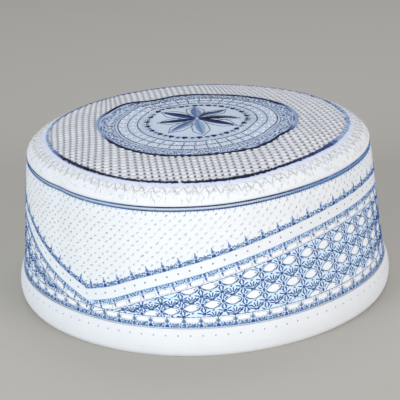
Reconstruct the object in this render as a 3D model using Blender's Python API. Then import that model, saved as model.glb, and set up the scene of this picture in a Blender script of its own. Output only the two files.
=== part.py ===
"""Embroidered prayer cap: crown top, shoulder band, side wall and folded hem.

The cap stands on its hem with its head opening down. +Z is up and the front is at -Y.
Every piece is a cross-section of the cloth that is spun about Z, and then pressed a little
out of round, as the soft cap is. All sizes are in metres.
"""
import math
from typing import NamedTuple

import bmesh
import bpy
import numpy as np

MM = 0.001

# Driving sizes
CLOTH = 1.6 * MM            # stiffened, closely embroidered cotton
HEM_CLOTH = 1.2 * MM        # one leg of the folded hem, where it isn't padded
GAP = 0.3 * MM              # left between neighbouring pieces
SEGMENTS = 72               # steps round the cap
RIM_RADIUS = 92.2 * MM      # outside of the wall where the hem starts
HEM_HEIGHT = 14.3 * MM      # the hem's upper edge
SEAM_HEIGHT = 72.4 * MM     # light-blue line, where the wall meets the shoulder
SEAM_RADIUS = 85.4 * MM
CROWN_LINE_HEIGHT = 82.0 * MM   # navy line, where the shoulder meets the crown top
CROWN_LINE_RADIUS = 75.6 * MM
CROWN_HEIGHT = 87.7 * MM    # the middle of the crown
WALL_FOOT = 2.6 * MM        # lower edge of the wall, inside the hem
WALL_FOOT_RADIUS = 92.6 * MM
HEM_LIP = HEM_HEIGHT - 0.2 * MM     # upper edges of the hem's two legs
HEM_FOLD_RISE = 1.4 * MM    # height of the rounding where the hem folds inwards
HEM_FOLD_WIDTH = 1.0 * MM

# The soft cap's stand: the crown has moved a little to -X, and its +X side is higher
CROWN_DRIFT = -1.3 * MM
CROWN_LEAN = 0.014

# The low crease across the crown, from the front right to the back left
CREASE_HEIGHT = 1.1 * MM
CREASE_HALF_WIDTH = 7.0 * MM
CREASE_DIRECTION = math.radians(-32.5)
CREASE_SIDE_STEP = 3.9 * MM     # how far the crease passes behind the middle


class Lobes(NamedTuple):
    """How far the cap is pressed out of round at one height, as half the spread of each form."""
    height: float
    oval: float
    three_sided: float
    four_sided: float


# Where each form bulges out, as an angle from +X
OVAL_AT = math.radians(10.0)
THREE_SIDED_AT = math.radians(20.0)
FOUR_SIDED_AT = math.radians(-6.0)

LOBES = (
    Lobes(height=0.0 * MM, oval=0.5 * MM, three_sided=0.0 * MM, four_sided=0.5 * MM),
    Lobes(height=14.3 * MM, oval=0.4 * MM, three_sided=0.0 * MM, four_sided=0.8 * MM),
    Lobes(height=43.0 * MM, oval=0.4 * MM, three_sided=0.4 * MM, four_sided=0.8 * MM),
    Lobes(height=72.4 * MM, oval=0.5 * MM, three_sided=0.9 * MM, four_sided=1.0 * MM),
    Lobes(height=79.0 * MM, oval=0.5 * MM, three_sided=0.9 * MM, four_sided=0.7 * MM),
    Lobes(height=82.0 * MM, oval=0.4 * MM, three_sided=1.4 * MM, four_sided=0.6 * MM),
)


class Knot(NamedTuple):
    """A point that an outer line of the cross-section passes through."""
    radius: float
    height: float


CROWN_KNOTS = (
    Knot(radius=0.0 * MM, height=CROWN_HEIGHT),
    Knot(radius=26.0 * MM, height=86.7 * MM),
    Knot(radius=50.0 * MM, height=85.4 * MM),
    Knot(radius=66.0 * MM, height=84.1 * MM),
    Knot(radius=CROWN_LINE_RADIUS, height=CROWN_LINE_HEIGHT),
)

SHOULDER_KNOTS = (
    Knot(radius=CROWN_LINE_RADIUS, height=CROWN_LINE_HEIGHT),
    Knot(radius=82.3 * MM, height=79.5 * MM),
    Knot(radius=86.1 * MM, height=75.2 * MM),
    Knot(radius=SEAM_RADIUS, height=SEAM_HEIGHT),
)

WALL_KNOTS = (
    Knot(radius=SEAM_RADIUS, height=SEAM_HEIGHT),
    Knot(radius=86.8 * MM, height=69.0 * MM),
    Knot(radius=87.7 * MM, height=60.0 * MM),
    Knot(radius=89.6 * MM, height=40.0 * MM),
    Knot(radius=RIM_RADIUS, height=HEM_HEIGHT),
    Knot(radius=WALL_FOOT_RADIUS, height=WALL_FOOT),
)

# The outer face of the hem, from its upper edge down to the ground
HEM_KNOTS = (
    Knot(radius=93.3 * MM, height=HEM_LIP),
    Knot(radius=94.5 * MM, height=11.0 * MM),
    Knot(radius=95.2 * MM, height=6.5 * MM),
    Knot(radius=94.8 * MM, height=2.2 * MM),
    Knot(radius=93.7 * MM, height=0.0 * MM),
)


class Finish(NamedTuple):
    """A piece's plain colour and surface."""
    name: str
    colour: tuple
    roughness: float


CROWN_FINISH = Finish("crown_cloth", (0.62, 0.64, 0.70), 0.90)
SHOULDER_FINISH = Finish("shoulder_cloth", (0.78, 0.80, 0.84), 0.88)
WALL_FINISH = Finish("wall_cloth", (0.72, 0.77, 0.88), 0.88)
HEM_FINISH = Finish("hem_cloth", (0.86, 0.88, 0.92), 0.85)


def clear_scene():
    """Removes whatever objects the file opened with."""
    for scene_object in list(bpy.data.objects):
        bpy.data.objects.remove(scene_object, do_unlink=True)


def make_material(finish):
    """Returns a Principled material in the finish's colour."""
    material = bpy.data.materials.new(finish.name)
    material.use_nodes = True
    shader = material.node_tree.nodes["Principled BSDF"]
    shader.inputs["Base Color"].default_value = (*finish.colour, 1.0)
    shader.inputs["Roughness"].default_value = finish.roughness
    shader.inputs["Metallic"].default_value = 0.0
    return material


def smooth_line(knots, count):
    """Returns count points, evenly spaced along a Catmull-Rom curve through the knots."""
    points = np.array(knots)
    lead_in = 2 * points[0] - points[1]
    lead_out = 2 * points[-1] - points[-2]
    held = np.vstack([lead_in, points, lead_out])
    t = np.linspace(0.0, 1.0, 24, endpoint=False)[:, None]
    spans = []
    for before, start, end, after in zip(held, held[1:], held[2:], held[3:]):
        slope = (end - before) / 2
        next_slope = (after - start) / 2
        spans.append((2 * t**3 - 3 * t**2 + 1) * start + (t**3 - 2 * t**2 + t) * slope
                     + (3 * t**2 - 2 * t**3) * end + (t**3 - t**2) * next_slope)
    curve = np.vstack([*spans, points[-1:]])
    steps = np.hypot(*np.diff(curve, axis=0).T)
    along = np.concatenate([[0.0], np.cumsum(steps)])
    places = np.linspace(0.0, along[-1], count)
    return np.stack([np.interp(places, along, curve[:, axis]) for axis in (0, 1)], axis=-1)


def trimmed(line, start_cut, end_cut):
    """Returns the line with its first and last points moved in along it by the two cuts."""
    line = line.copy()
    for end, neighbour, cut in ((0, 1, start_cut), (-1, -2, end_cut)):
        towards = line[neighbour] - line[end]
        line[end] += towards / np.hypot(*towards) * cut
    return line


def inside_of(line, distance):
    """Returns the line moved towards the inside of the cap, at right angles to itself.

    The lines run from the crown's middle down to the rim, so the inside is to their right.
    """
    along = np.gradient(line, axis=0)
    along /= np.hypot(along[:, 0], along[:, 1])[:, None]
    inward = np.stack([along[:, 1], -along[:, 0]], axis=-1)
    return line + inward * distance


def strip_outline(knots, outer_count, inner_count, start_cut, end_cut):
    """Returns the closed cross-section of a strip of cloth whose outer line passes the knots."""
    outer = trimmed(smooth_line(knots, outer_count), start_cut, end_cut)
    fine = trimmed(smooth_line(knots, 6 * inner_count), start_cut, end_cut)
    fine_inner = inside_of(fine, CLOTH)
    picks = np.linspace(0, len(fine_inner) - 1, inner_count).round().astype(int)
    return np.vstack([outer, fine_inner[picks][::-1]])


def press_out_of_round(place):
    """Returns a point of the round cap moved to where it lies on the soft cap.

    Each form adds its amount times cos(n * (angle - direction)) to the radius. On the crown
    the forms fade towards the middle, where the crease is added instead.
    """
    x, y, z = place
    radius = math.hypot(x, y)
    if radius < 1e-9:
        angle = 0.0
    else:
        angle = math.atan2(y, x)
    heights = [row.height for row in LOBES]
    oval = np.interp(z, heights, [row.oval for row in LOBES])
    three = np.interp(z, heights, [row.three_sided for row in LOBES])
    four = np.interp(z, heights, [row.four_sided for row in LOBES])
    spread = oval * math.cos(2 * (angle - OVAL_AT))
    spread += three * math.cos(3 * (angle - THREE_SIDED_AT))
    spread += four * math.cos(4 * (angle - FOUR_SIDED_AT))
    fade = min(1.0, (radius / (CROWN_LINE_RADIUS - 2 * CLOTH)) ** 2)
    radius += spread * fade
    x = radius * math.cos(angle) + CROWN_DRIFT * z / CROWN_LINE_HEIGHT
    y = radius * math.sin(angle)
    lift = CROWN_LEAN * x * z / CROWN_HEIGHT
    return x, y, z + lift + crease_lift(x, y, radius)


def crease_lift(x, y, radius):
    """Returns the height of the crease: a rounded ridge that fades out before the navy line."""
    across = y * math.cos(CREASE_DIRECTION) - x * math.sin(CREASE_DIRECTION) - CREASE_SIDE_STEP
    ridge = math.exp(-(across / CREASE_HALF_WIDTH) ** 2)
    fade = max(0.0, 1.0 - (radius / (CROWN_LINE_RADIUS - 4 * MM)) ** 4)
    return CREASE_HEIGHT * ridge * fade


def spun_piece(name, outline, finish):
    """Spins a closed outline of (radius, height) points about Z and makes it one object."""
    mesh = bpy.data.meshes.new(name)
    body = bmesh.new()
    corners = [body.verts.new((radius, 0.0, height)) for radius, height in outline]
    edges = [body.edges.new(pair) for pair in zip(corners, corners[1:] + corners[:1])
             if pair[0].co.x > 0.0 or pair[1].co.x > 0.0]
    bmesh.ops.spin(body, geom=corners + edges, cent=(0, 0, 0), axis=(0, 0, 1),
                   angle=2 * math.pi, steps=SEGMENTS, use_duplicate=False)
    bmesh.ops.remove_doubles(body, verts=body.verts, dist=0.01 * MM)
    for corner in body.verts:
        corner.co = press_out_of_round(corner.co)
    bmesh.ops.recalc_face_normals(body, faces=body.faces)
    body.to_mesh(mesh)
    body.free()
    mesh.shade_smooth()
    mesh.set_sharp_from_angle(angle=math.radians(40))
    mesh.materials.append(make_material(finish))
    piece = bpy.data.objects.new(name, mesh)
    bpy.context.scene.collection.objects.link(piece)
    return piece


def make_crown_top():
    """The disc of the crown, cut back at the navy line."""
    outline = strip_outline(CROWN_KNOTS, 13, 10, 0.0, GAP / 2)
    outline[-1, 0] = 0.0
    return spun_piece("crown_top", outline, CROWN_FINISH)


def make_shoulder_band():
    """The rounded strip between the two stitched lines."""
    outline = strip_outline(SHOULDER_KNOTS, 8, 5, GAP / 2, GAP / 2)
    return spun_piece("shoulder_band", outline, SHOULDER_FINISH)


def make_side_wall():
    """The flaring wall, whose foot stands inside the folded hem."""
    outline = strip_outline(WALL_KNOTS, 11, 8, GAP / 2, 0.0)
    return spun_piece("side_wall", outline, WALL_FINISH)


def make_hem_band():
    """The folded hem: an outer leg, a flat underside, an inner leg, and the slot between them."""
    outer = smooth_line(HEM_KNOTS, 8)
    slot_floor = WALL_FOOT - GAP
    leg_back = CLOTH + GAP + HEM_CLOTH
    slot_back = CLOTH + GAP
    inner = [
        (WALL_FOOT_RADIUS - leg_back + HEM_FOLD_WIDTH, 0.0),
        (WALL_FOOT_RADIUS - leg_back, HEM_FOLD_RISE),
        (RIM_RADIUS - leg_back, HEM_LIP),
        (RIM_RADIUS - slot_back, HEM_LIP),
        (WALL_FOOT_RADIUS - slot_back, slot_floor),
        (WALL_FOOT_RADIUS + GAP, slot_floor),
        (RIM_RADIUS + GAP, HEM_LIP),
    ]
    return spun_piece("hem_band", np.vstack([outer, inner]), HEM_FINISH)


def main():
    """Makes the four pieces of the cap."""
    clear_scene()
    make_crown_top()
    make_shoulder_band()
    make_side_wall()
    make_hem_band()


main()
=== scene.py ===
"""Dresses the embroidered prayer cap with its cloth, its stitched lines and its embroidery.

Every length is in metres. A face of the cap is worked in flat coordinates, across and up, and
each thread, pad and hole is laid on it by those two numbers and a lift along the face's normal.
"""

import logging
import math
from dataclasses import dataclass, field
from enum import Enum
from typing import Callable, Sequence

import bpy
import numpy as np
from mathutils import Matrix, Vector


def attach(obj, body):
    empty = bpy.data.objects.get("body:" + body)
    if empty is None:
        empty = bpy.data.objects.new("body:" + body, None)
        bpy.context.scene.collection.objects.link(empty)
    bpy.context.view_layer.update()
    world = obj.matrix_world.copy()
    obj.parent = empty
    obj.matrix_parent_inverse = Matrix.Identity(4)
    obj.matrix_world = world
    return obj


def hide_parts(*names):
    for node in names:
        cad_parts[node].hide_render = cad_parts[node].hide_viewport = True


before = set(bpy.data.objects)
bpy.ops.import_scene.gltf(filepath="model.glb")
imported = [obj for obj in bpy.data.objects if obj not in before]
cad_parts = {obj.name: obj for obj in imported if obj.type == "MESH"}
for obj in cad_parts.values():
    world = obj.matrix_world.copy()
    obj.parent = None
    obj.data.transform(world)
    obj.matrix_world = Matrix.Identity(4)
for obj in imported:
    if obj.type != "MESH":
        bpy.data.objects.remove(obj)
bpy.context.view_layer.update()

Array = np.ndarray
Piece = bpy.types.Object
Nodes = bpy.types.NodeTree
Socket = bpy.types.NodeSocket
LOG = logging.getLogger("prayer_cap")

MM = 0.001
TURN = 2.0 * math.pi

# The cap's form, as its solids have it
CLOTH = 1.6 * MM
GAP = 0.3 * MM
RIM_RADIUS = 92.2 * MM
HEM_HEIGHT = 14.3 * MM
HEM_LIP = 14.1 * MM
SEAM_HEIGHT = 72.4 * MM
LINE_HEIGHT = 82.0 * MM
LINE_RADIUS = 75.6 * MM
CROWN_HEIGHT = 87.7 * MM
WALL_FOOT = 2.6 * MM
WALL_FOOT_RADIUS = 92.6 * MM
CROWN_DRIFT = -1.3 * MM
CROWN_LEAN = 0.014
CREASE_HEIGHT = 1.1 * MM
CREASE_HALF_WIDTH = 7.0 * MM
CREASE_DIRECTION = math.radians(-32.5)
CREASE_SIDE_STEP = 3.9 * MM
SOFTNESS = 0.22 * MM            # height of the cloth's own slow unevenness
FOLD_AT = math.radians(-143.0)  # the soft upright fold at the left of the side
FOLD_DEPTH = 0.7 * MM
FOLD_HALF_WIDTH = math.radians(4.5)

OVAL_AT = math.radians(10.0)
THREE_SIDED_AT = math.radians(20.0)
FOUR_SIDED_AT = math.radians(-6.0)

# height, oval, three-sided, four-sided, all in mm
LOBES = np.array([
    (0.0, 0.5, 0.0, 0.5),
    (14.3, 0.4, 0.0, 0.8),
    (43.0, 0.4, 0.4, 0.8),
    (72.4, 0.5, 0.9, 1.0),
    (79.0, 0.5, 0.9, 0.7),
    (82.0, 0.4, 1.4, 0.6),
]) * MM

# radius, height in mm
UPPER_KNOTS = ((0.0, 87.7), (26.0, 86.7), (50.0, 85.4), (66.0, 84.1), (75.6, 82.0),
               (82.3, 79.5), (86.1, 75.2), (85.4, 72.4))
WALL_KNOTS = ((85.4, 72.4), (86.8, 69.0), (87.7, 60.0), (89.6, 40.0), (92.2, 14.3), (92.6, 2.6))
HEM_KNOTS = ((93.3, 14.1), (94.5, 11.0), (95.2, 6.5), (94.8, 2.2), (93.7, 0.0))


def pair(first: Array, second: Array) -> Array:
    """Returns two arrays side by side as (..., 2)."""
    return np.stack([first, second], axis=-1)


def level(across: Array, height: float) -> Array:
    """Returns places along a face, all at one height."""
    return pair(across, np.full(len(across), height))


def ease(value: Array) -> Array:
    """Returns 3t^2 - 2t^3 of the value held between 0 and 1."""
    held = np.clip(value, 0.0, 1.0)
    return held * held * (3.0 - 2.0 * held)


def within(value: Array, low: Array | float, rise: float, high: Array | float, fall: float) -> Array:
    """Returns how far a value lies between two bounds, eased at both.

    Args:
        value: The value.
        low: The low bound.
        rise: How far past the low bound it counts in full.
        high: The high bound.
        fall: How far before the high bound it still counts in full.

    Returns:
        0 outside the bounds, and 1 well inside them.
    """
    return ease((value - low) / rise) * ease((high - value) / fall)


def read(table: Array, place: Array, column: int = 1) -> Array:
    """Returns a column of a table at a place, in straight lines between its rows."""
    return np.interp(place, table[:, 0], table[:, column])


def azimuths(count: int, first: float = 0.0, start: float = 0.0) -> Array:
    """Returns evenly spaced azimuths once round, in degrees, from a share of a step past the first."""
    return first + (np.arange(count) + start) * 360.0 / count


def hermite(table: Array, x: Array) -> Array:
    """Returns a smooth curve through a table: cubic pieces whose slopes are the rows' mean slopes.

    Args:
        table: Rows of place and value, with the places rising.
        x: Where to read the curve.

    Returns:
        The curve's values at x.
    """
    xs, ys = table[:, 0], table[:, 1]
    steps = np.diff(xs)
    rises = np.diff(ys) / steps
    slopes = np.concatenate([rises[:1], (rises[1:] + rises[:-1]) / 2, rises[-1:]])
    span = np.clip(np.searchsorted(xs, x, side="right") - 1, 0, len(xs) - 2)
    t = (x - xs[span]) / steps[span]
    start = ys[span] * (2 * t**3 - 3 * t**2 + 1) + slopes[span] * steps[span] * (t**3 - 2 * t**2 + t)
    end = ys[span + 1] * (3 * t**2 - 2 * t**3) + slopes[span + 1] * steps[span] * (t**3 - t**2)
    return start + end


SPAN_POINTS = 24                # points of a profile from one knot to the next


class Profile:
    """A line of the cap's cross-section: a Catmull-Rom curve through (radius, height) knots."""

    def __init__(self, knots_mm: Sequence[tuple[float, float]]) -> None:
        """Samples the curve closely and measures along it."""
        knots = np.array(knots_mm) * MM
        held = np.vstack([2 * knots[0] - knots[1], knots, 2 * knots[-1] - knots[-2]])
        t = np.linspace(0.0, 1.0, SPAN_POINTS, endpoint=False)[:, None]
        spans = []
        for before, start, end, after in zip(held, held[1:], held[2:], held[3:]):
            spans.append((2 * t**3 - 3 * t**2 + 1) * start + (t**3 - 2 * t**2 + t) * (end - before) / 2
                         + (3 * t**2 - 2 * t**3) * end + (t**3 - t**2) * (after - start) / 2)
        self.line = np.vstack([*spans, knots[-1:]])
        steps = np.hypot(*np.diff(self.line, axis=0).T)
        self.along = np.concatenate([[0.0], np.cumsum(steps)])

    def at(self, along: Array) -> tuple[Array, Array]:
        """Returns the radius and height at a distance along the line."""
        return tuple(np.interp(along, self.along, self.line[:, axis]) for axis in (0, 1))

    def radius_at(self, height: Array) -> Array:
        """Returns the radius at a height, on a line that only falls."""
        return np.interp(height, self.line[::-1, 1], self.line[::-1, 0])

    def along_radius(self, radius: float) -> float:
        """Returns the distance along the line at which it first reaches a radius."""
        return float(self.along[np.argmax(self.line[:, 0] >= radius)])

    def evenly(self, start: float, end: float, count: int) -> Array:
        """Returns count points (radius, height), evenly spaced between two distances."""
        return pair(*self.at(np.linspace(start, end, count)))


def crease_lift(x: Array, y: Array, radius: Array) -> Array:
    """Returns the crease's height: a bell curve across its direction that fades out at the line."""
    across = y * math.cos(CREASE_DIRECTION) - x * math.sin(CREASE_DIRECTION) - CREASE_SIDE_STEP
    ridge = np.exp(-(across / CREASE_HALF_WIDTH) ** 2)
    fade = np.clip(1.0 - (radius / (LINE_RADIUS - 4 * MM)) ** 4, 0.0, 1.0)
    return CREASE_HEIGHT * ridge * fade


def press(radius: Array, angle: Array, height: Array) -> Array:
    """Moves points of a round cap to where they lie on the soft one.

    Each form adds its amount times cos(n * (angle - direction)) to the radius, and three slow
    sines make the cloth uneven. A bell curve in the angle sinks the fold into the upper side. The
    crown drifts to one side, leans a little and has a crease.

    Args:
        radius: Distance from the axis.
        angle: Angle from +X, in radians.
        height: Height above the ground.

    Returns:
        Points as (..., 3).
    """
    radius, angle, height = np.broadcast_arrays(radius, angle, height)
    oval, three, four = (read(LOBES, height, form) for form in (1, 2, 3))
    spread = (oval * np.cos(2 * (angle - OVAL_AT)) + three * np.cos(3 * (angle - THREE_SIDED_AT))
              + four * np.cos(4 * (angle - FOUR_SIDED_AT)))
    uneven = (np.sin(5 * angle + 62 * height + 0.4) + np.sin(9 * angle - 95 * height + 2.1)
              + 0.6 * np.sin(16 * angle + 170 * height)) * SOFTNESS / 2.6
    uneven = uneven * ease(height / HEM_HEIGHT)
    from_fold = (angle - FOLD_AT + math.pi) % TURN - math.pi
    upper_side = within(height, 34 * MM, 22 * MM, 80 * MM, 9 * MM)
    uneven = uneven - FOLD_DEPTH * np.exp(-(from_fold / FOLD_HALF_WIDTH) ** 2) * upper_side
    fade = np.minimum(1.0, (radius / (LINE_RADIUS - 2 * CLOTH)) ** 2)
    radius = radius + (spread + uneven) * fade
    x = radius * np.cos(angle) + CROWN_DRIFT * height / LINE_HEIGHT
    y = radius * np.sin(angle)
    lift = CROWN_LEAN * x * height / CROWN_HEIGHT + crease_lift(x, y, radius)
    return np.stack([x, y, height + lift], axis=-1)


class Face:
    """A face of the cap with flat working coordinates: across, and up at right angles to it."""

    def point(self, across: Array, up: Array) -> Array:
        """Returns the points of the face at the working coordinates."""
        raise NotImplementedError

    def place(self, places: Array, lift: Array | float) -> Array:
        """Returns points lifted off the face.

        The normal is the cross product of the face's two slopes, read 0.1 mm to each side.

        Args:
            places: Working coordinates, (..., 2).
            lift: Distance outwards from the face.

        Returns:
            Points as (..., 3).
        """
        step = 0.1 * MM
        across, up = places[..., 0], places[..., 1]
        slope_across = self.point(across + step, up) - self.point(across - step, up)
        slope_up = self.point(across, up + step) - self.point(across, up - step)
        normal = np.cross(slope_across, slope_up)
        normal /= np.linalg.norm(normal, axis=-1, keepdims=True)
        return self.point(across, up) + normal * np.asarray(lift)[..., None]


@dataclass(frozen=True)
class RoundFace(Face):
    """A face that runs round the cap: across is the angle times a girth radius."""
    profile: Profile
    girth_radius: float

    @property
    def girth(self) -> float:
        """Returns the across coordinate once round."""
        return TURN * self.girth_radius

    def bearing(self, degrees: float | Array) -> float | Array:
        """Returns the across coordinate at an azimuth from +X, in degrees."""
        return np.radians(degrees) * self.girth_radius


class StandingFace(RoundFace):
    """The wall, the hem or the seam between wall and shoulder: up is the height."""

    def point(self, across: Array, up: Array) -> Array:
        """Returns points at the profile's radius for each height."""
        return press(self.profile.radius_at(up), across / self.girth_radius, up)


class ShoulderFace(RoundFace):
    """The rounded edge: up is the distance from the navy line towards the crown's middle."""

    def point(self, across: Array, up: Array) -> Array:
        """Returns points at each distance along the profile."""
        radius, height = self.profile.at(self.profile.along_radius(LINE_RADIUS) - up)
        return press(radius, across / self.girth_radius, height)


@dataclass(frozen=True)
class CrownFace(Face):
    """The crown in plan: across is x and up is y."""
    profile: Profile

    def point(self, across: Array, up: Array) -> Array:
        """Returns points at the crown's height for each distance from the middle."""
        radius = np.hypot(across, up)
        crown = self.profile.line[self.profile.line[:, 0].argsort()]
        height = np.interp(radius, crown[:, 0], crown[:, 1])
        return press(radius, np.arctan2(up, across), height)


UPPER = Profile(UPPER_KNOTS)
WALL = Profile(WALL_KNOTS)
HEM = Profile(HEM_KNOTS)
CROWN_LINE = Profile(UPPER_KNOTS[:5])
SEAM_LINE = Profile([*(UPPER.line[-SPAN_POINTS - 1::4] / MM), *(WALL.line[4:SPAN_POINTS + 1:4] / MM)])
WALL_FACE = StandingFace(WALL, 90.0 * MM)
HEM_FACE = StandingFace(HEM, 94.0 * MM)
SHOULDER_FACE = ShoulderFace(UPPER, 80.0 * MM)
CROWN_FACE = CrownFace(CROWN_LINE)
SEAM_FACE = StandingFace(SEAM_LINE, 86.0 * MM)


def make_object(name: str, vertices: Array, faces: Sequence[Array], uv: Array | None = None,
                marks: dict[str, Array] | None = None, smooth: bool = True) -> Piece:
    """Makes a mesh object from arrays.

    Args:
        name: The piece's name.
        vertices: Points as (n, 3).
        faces: Index arrays, each (m, 3) or (m, 4).
        uv: One (u, v) for each vertex, in metres of cloth.
        marks: Named values for each vertex, which the materials read.
        smooth: Whether the faces are shaded smooth.

    Returns:
        The new object, linked to the scene.
    """
    mesh = bpy.data.meshes.new(name)
    corners = np.concatenate([part.ravel() for part in faces])
    sides = np.concatenate([np.full(len(part), part.shape[1]) for part in faces])
    mesh.vertices.add(len(vertices))
    mesh.vertices.foreach_set("co", vertices.astype(np.float32).ravel())
    mesh.loops.add(len(corners))
    mesh.loops.foreach_set("vertex_index", corners.astype(np.int32))
    mesh.polygons.add(len(sides))
    starts = np.concatenate([[0], np.cumsum(sides)[:-1]])
    mesh.polygons.foreach_set("loop_start", starts.astype(np.int32))
    mesh.polygons.foreach_set("use_smooth", np.full(len(sides), smooth))
    if uv is not None:
        layer = mesh.uv_layers.new(name="cloth")
        layer.uv.foreach_set("vector", uv[corners].astype(np.float32).ravel())
    for mark, values in (marks or {}).items():
        attribute = mesh.attributes.new(mark, "FLOAT", "POINT")
        attribute.data.foreach_set("value", values.astype(np.float32))
    mesh.update(calc_edges=True)
    mesh.validate()
    piece = bpy.data.objects.new(name, mesh)
    bpy.context.scene.collection.objects.link(piece)
    return piece


def ring_faces(rows: int, columns: int) -> Array:
    """Returns the quads of a closed tube: a closed outline of rows points, carried round columns.

    The outline runs so that the quads' normals point away from the cloth.
    """
    row, column = np.meshgrid(np.arange(rows), np.arange(columns), indexing="ij")
    next_row = (row + 1) % rows
    next_column = (column + 1) % columns
    quads = [row * columns + column, next_row * columns + column,
             next_row * columns + next_column, row * columns + next_column]
    return np.stack(quads, axis=-1).reshape(-1, 4)


@dataclass
class RoundShell:
    """A closed strip of cloth carried round the cap.

    The outline is a closed list of (radius, height) points: down the outside of the cloth, then
    back up its inside. Each point is pressed out of round at every angle, and the outside can
    be dyed by a function of the working coordinates.
    """
    name: str
    outline: Array
    columns: int
    girth_radius: float
    dye: Callable[[Array, Array], Array] | None = None

    def build(self) -> Piece:
        """Makes the shell with a UV map in metres of cloth."""
        angles = np.arange(self.columns) * TURN / self.columns
        radius = self.outline[:, 0][:, None]
        height = self.outline[:, 1][:, None]
        points = press(radius, angles[None, :], height)
        steps = np.hypot(*np.diff(self.outline, axis=0).T)
        along = np.concatenate([[0.0], np.cumsum(steps)])
        across = np.broadcast_to(angles * self.girth_radius, points.shape[:2])
        uv = pair(across, np.broadcast_to(-along[:, None], across.shape))
        marks = {}
        if self.dye:
            heights = np.broadcast_to(height, across.shape)
            marks["dye"] = self.dye(across, heights).ravel()
        faces = ring_faces(len(self.outline), self.columns)
        return make_object(self.name, points.reshape(-1, 3), [faces], uv.reshape(-1, 2), marks)


def cloth_outline(outer: Array, thickness: float, inner_count: int) -> Array:
    """Returns a closed outline: the outer line, then the same line moved inside by the thickness.

    Args:
        outer: Points (radius, height) from the crown's side down.
        thickness: The cloth's thickness.
        inner_count: How many points the inner line has.

    Returns:
        The outer points, followed by the inner ones from the bottom up.
    """
    along = np.gradient(outer, axis=0)
    along /= np.hypot(along[:, 0], along[:, 1])[:, None]
    inner = outer + pair(along[:, 1], -along[:, 0]) * thickness
    picks = np.linspace(0, len(outer) - 1, inner_count).round().astype(int)
    return np.vstack([outer, inner[picks][::-1]])


class Tone(Enum):
    """Where a thread lies on the scale from the palest blue to navy."""
    PALE = 0.05
    LIGHT = 0.28
    MID = 0.55
    DEEP = 0.78
    NAVY = 1.0


@dataclass(frozen=True)
class Stroke:
    """One charted stitch of a motif, in mm: a line between two points, bowed to its left."""
    start: tuple[float, float]
    end: tuple[float, float]
    width: float
    tone: Tone
    bow: float = 0.0


# shares of a stitch's length at which its mesh has points
STATIONS = np.array([0.0, 0.16, 0.5, 0.84, 1.0])


def bowed_paths(start: Array, end: Array, bow: Array | float = 0.0) -> Array:
    """Returns the paths of bowed lines: the chord plus bow * 4t(1 - t) to the chord's left.

    Args:
        start: First points, (n, 2).
        end: Last points, (n, 2).
        bow: How far the middle stands off the chord.

    Returns:
        Paths as (n, 5, 2).
    """
    chord = end - start
    length = np.maximum(np.linalg.norm(chord, axis=-1, keepdims=True), 1e-9)
    left = pair(-chord[:, 1], chord[:, 0]) / length
    t = STATIONS[None, :, None]
    lean = np.broadcast_to(np.asarray(bow, dtype=float), (len(start),))[:, None, None]
    return start[:, None] + chord[:, None] * t + left[:, None] * lean * 4 * t * (1 - t)


def both_ways(places: Array, reach: Array, bow: float = 0.0) -> Array:
    """Returns the paths of stitches that reach equally far to both sides of their middles."""
    return bowed_paths(places - reach, places + reach, bow)


def centred(places: Array, turn: Array, half: Array) -> Array:
    """Returns the paths of straight stitches about their middles, by their angles and half lengths."""
    return both_ways(places, pair(np.cos(turn), np.sin(turn)) * half)


def laid(chart: Array, origins: Array, headings: Array,
         scales: Array | tuple[float, float] = (1.0, 1.0)) -> Array:
    """Lays a copy of a chart at each origin: its points are scaled, turned and moved.

    Args:
        chart: Points about the chart's own origin, in metres, (m, 2).
        origins: Working coordinates, (n, 2).
        headings: Angle of the chart's x axis at each origin.
        scales: Factors along and across the chart, for all copies or for each.

    Returns:
        Working coordinates as (n, m, 2).
    """
    scales = np.broadcast_to(np.asarray(scales, dtype=float), (len(origins), 2))
    scaled = chart[None] * scales[:, None, :]
    cos, sin = np.cos(headings)[:, None], np.sin(headings)[:, None]
    x = scaled[..., 0] * cos - scaled[..., 1] * sin
    y = scaled[..., 0] * sin + scaled[..., 1] * cos
    return pair(x, y) + origins[:, None, :]


@dataclass(frozen=True)
class Motif:
    """A small repeat, charted as strokes in mm about its own origin."""
    strokes: tuple[Stroke, ...]

    def stamp(self, origins: Array, headings: Array,
              scales: Array | tuple[float, float] = (1.0, 1.0)) -> tuple[Array, Array, Array]:
        """Lays one copy of the motif at each origin.

        Args:
            origins: Working coordinates, (n, 2).
            headings: Angle of the chart's x axis at each origin.
            scales: Factors along and across the chart, for all copies or for each.

        Returns:
            Paths (n * strokes, 5, 2), widths and tones.
        """
        chart_start = np.array([stroke.start for stroke in self.strokes]) * MM
        chart_end = np.array([stroke.end for stroke in self.strokes]) * MM
        bows = np.array([stroke.bow for stroke in self.strokes]) * MM
        chart = bowed_paths(chart_start, chart_end, bows).reshape(-1, 2)
        paths = laid(chart, origins, headings, scales).reshape(-1, len(STATIONS), 2)
        widths = np.tile([stroke.width * MM for stroke in self.strokes], len(origins))
        tones = np.tile([stroke.tone.value for stroke in self.strokes], len(origins))
        return paths, widths, tones


def mirrored(strokes: Sequence[Stroke]) -> tuple[Stroke, ...]:
    """Returns the strokes together with their mirror images in the chart's y axis."""
    twins = [Stroke((-s.start[0], s.start[1]), (-s.end[0], s.end[1]), s.width, s.tone, -s.bow)
             for s in strokes]
    return (*strokes, *twins)


TIP_RISE = 0.25                 # height of a thread's pointed ends, as a share of its crest
TWIST_SHIFT = 0.37 * MM         # how far each thread's twist is set on from the last one's


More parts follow.
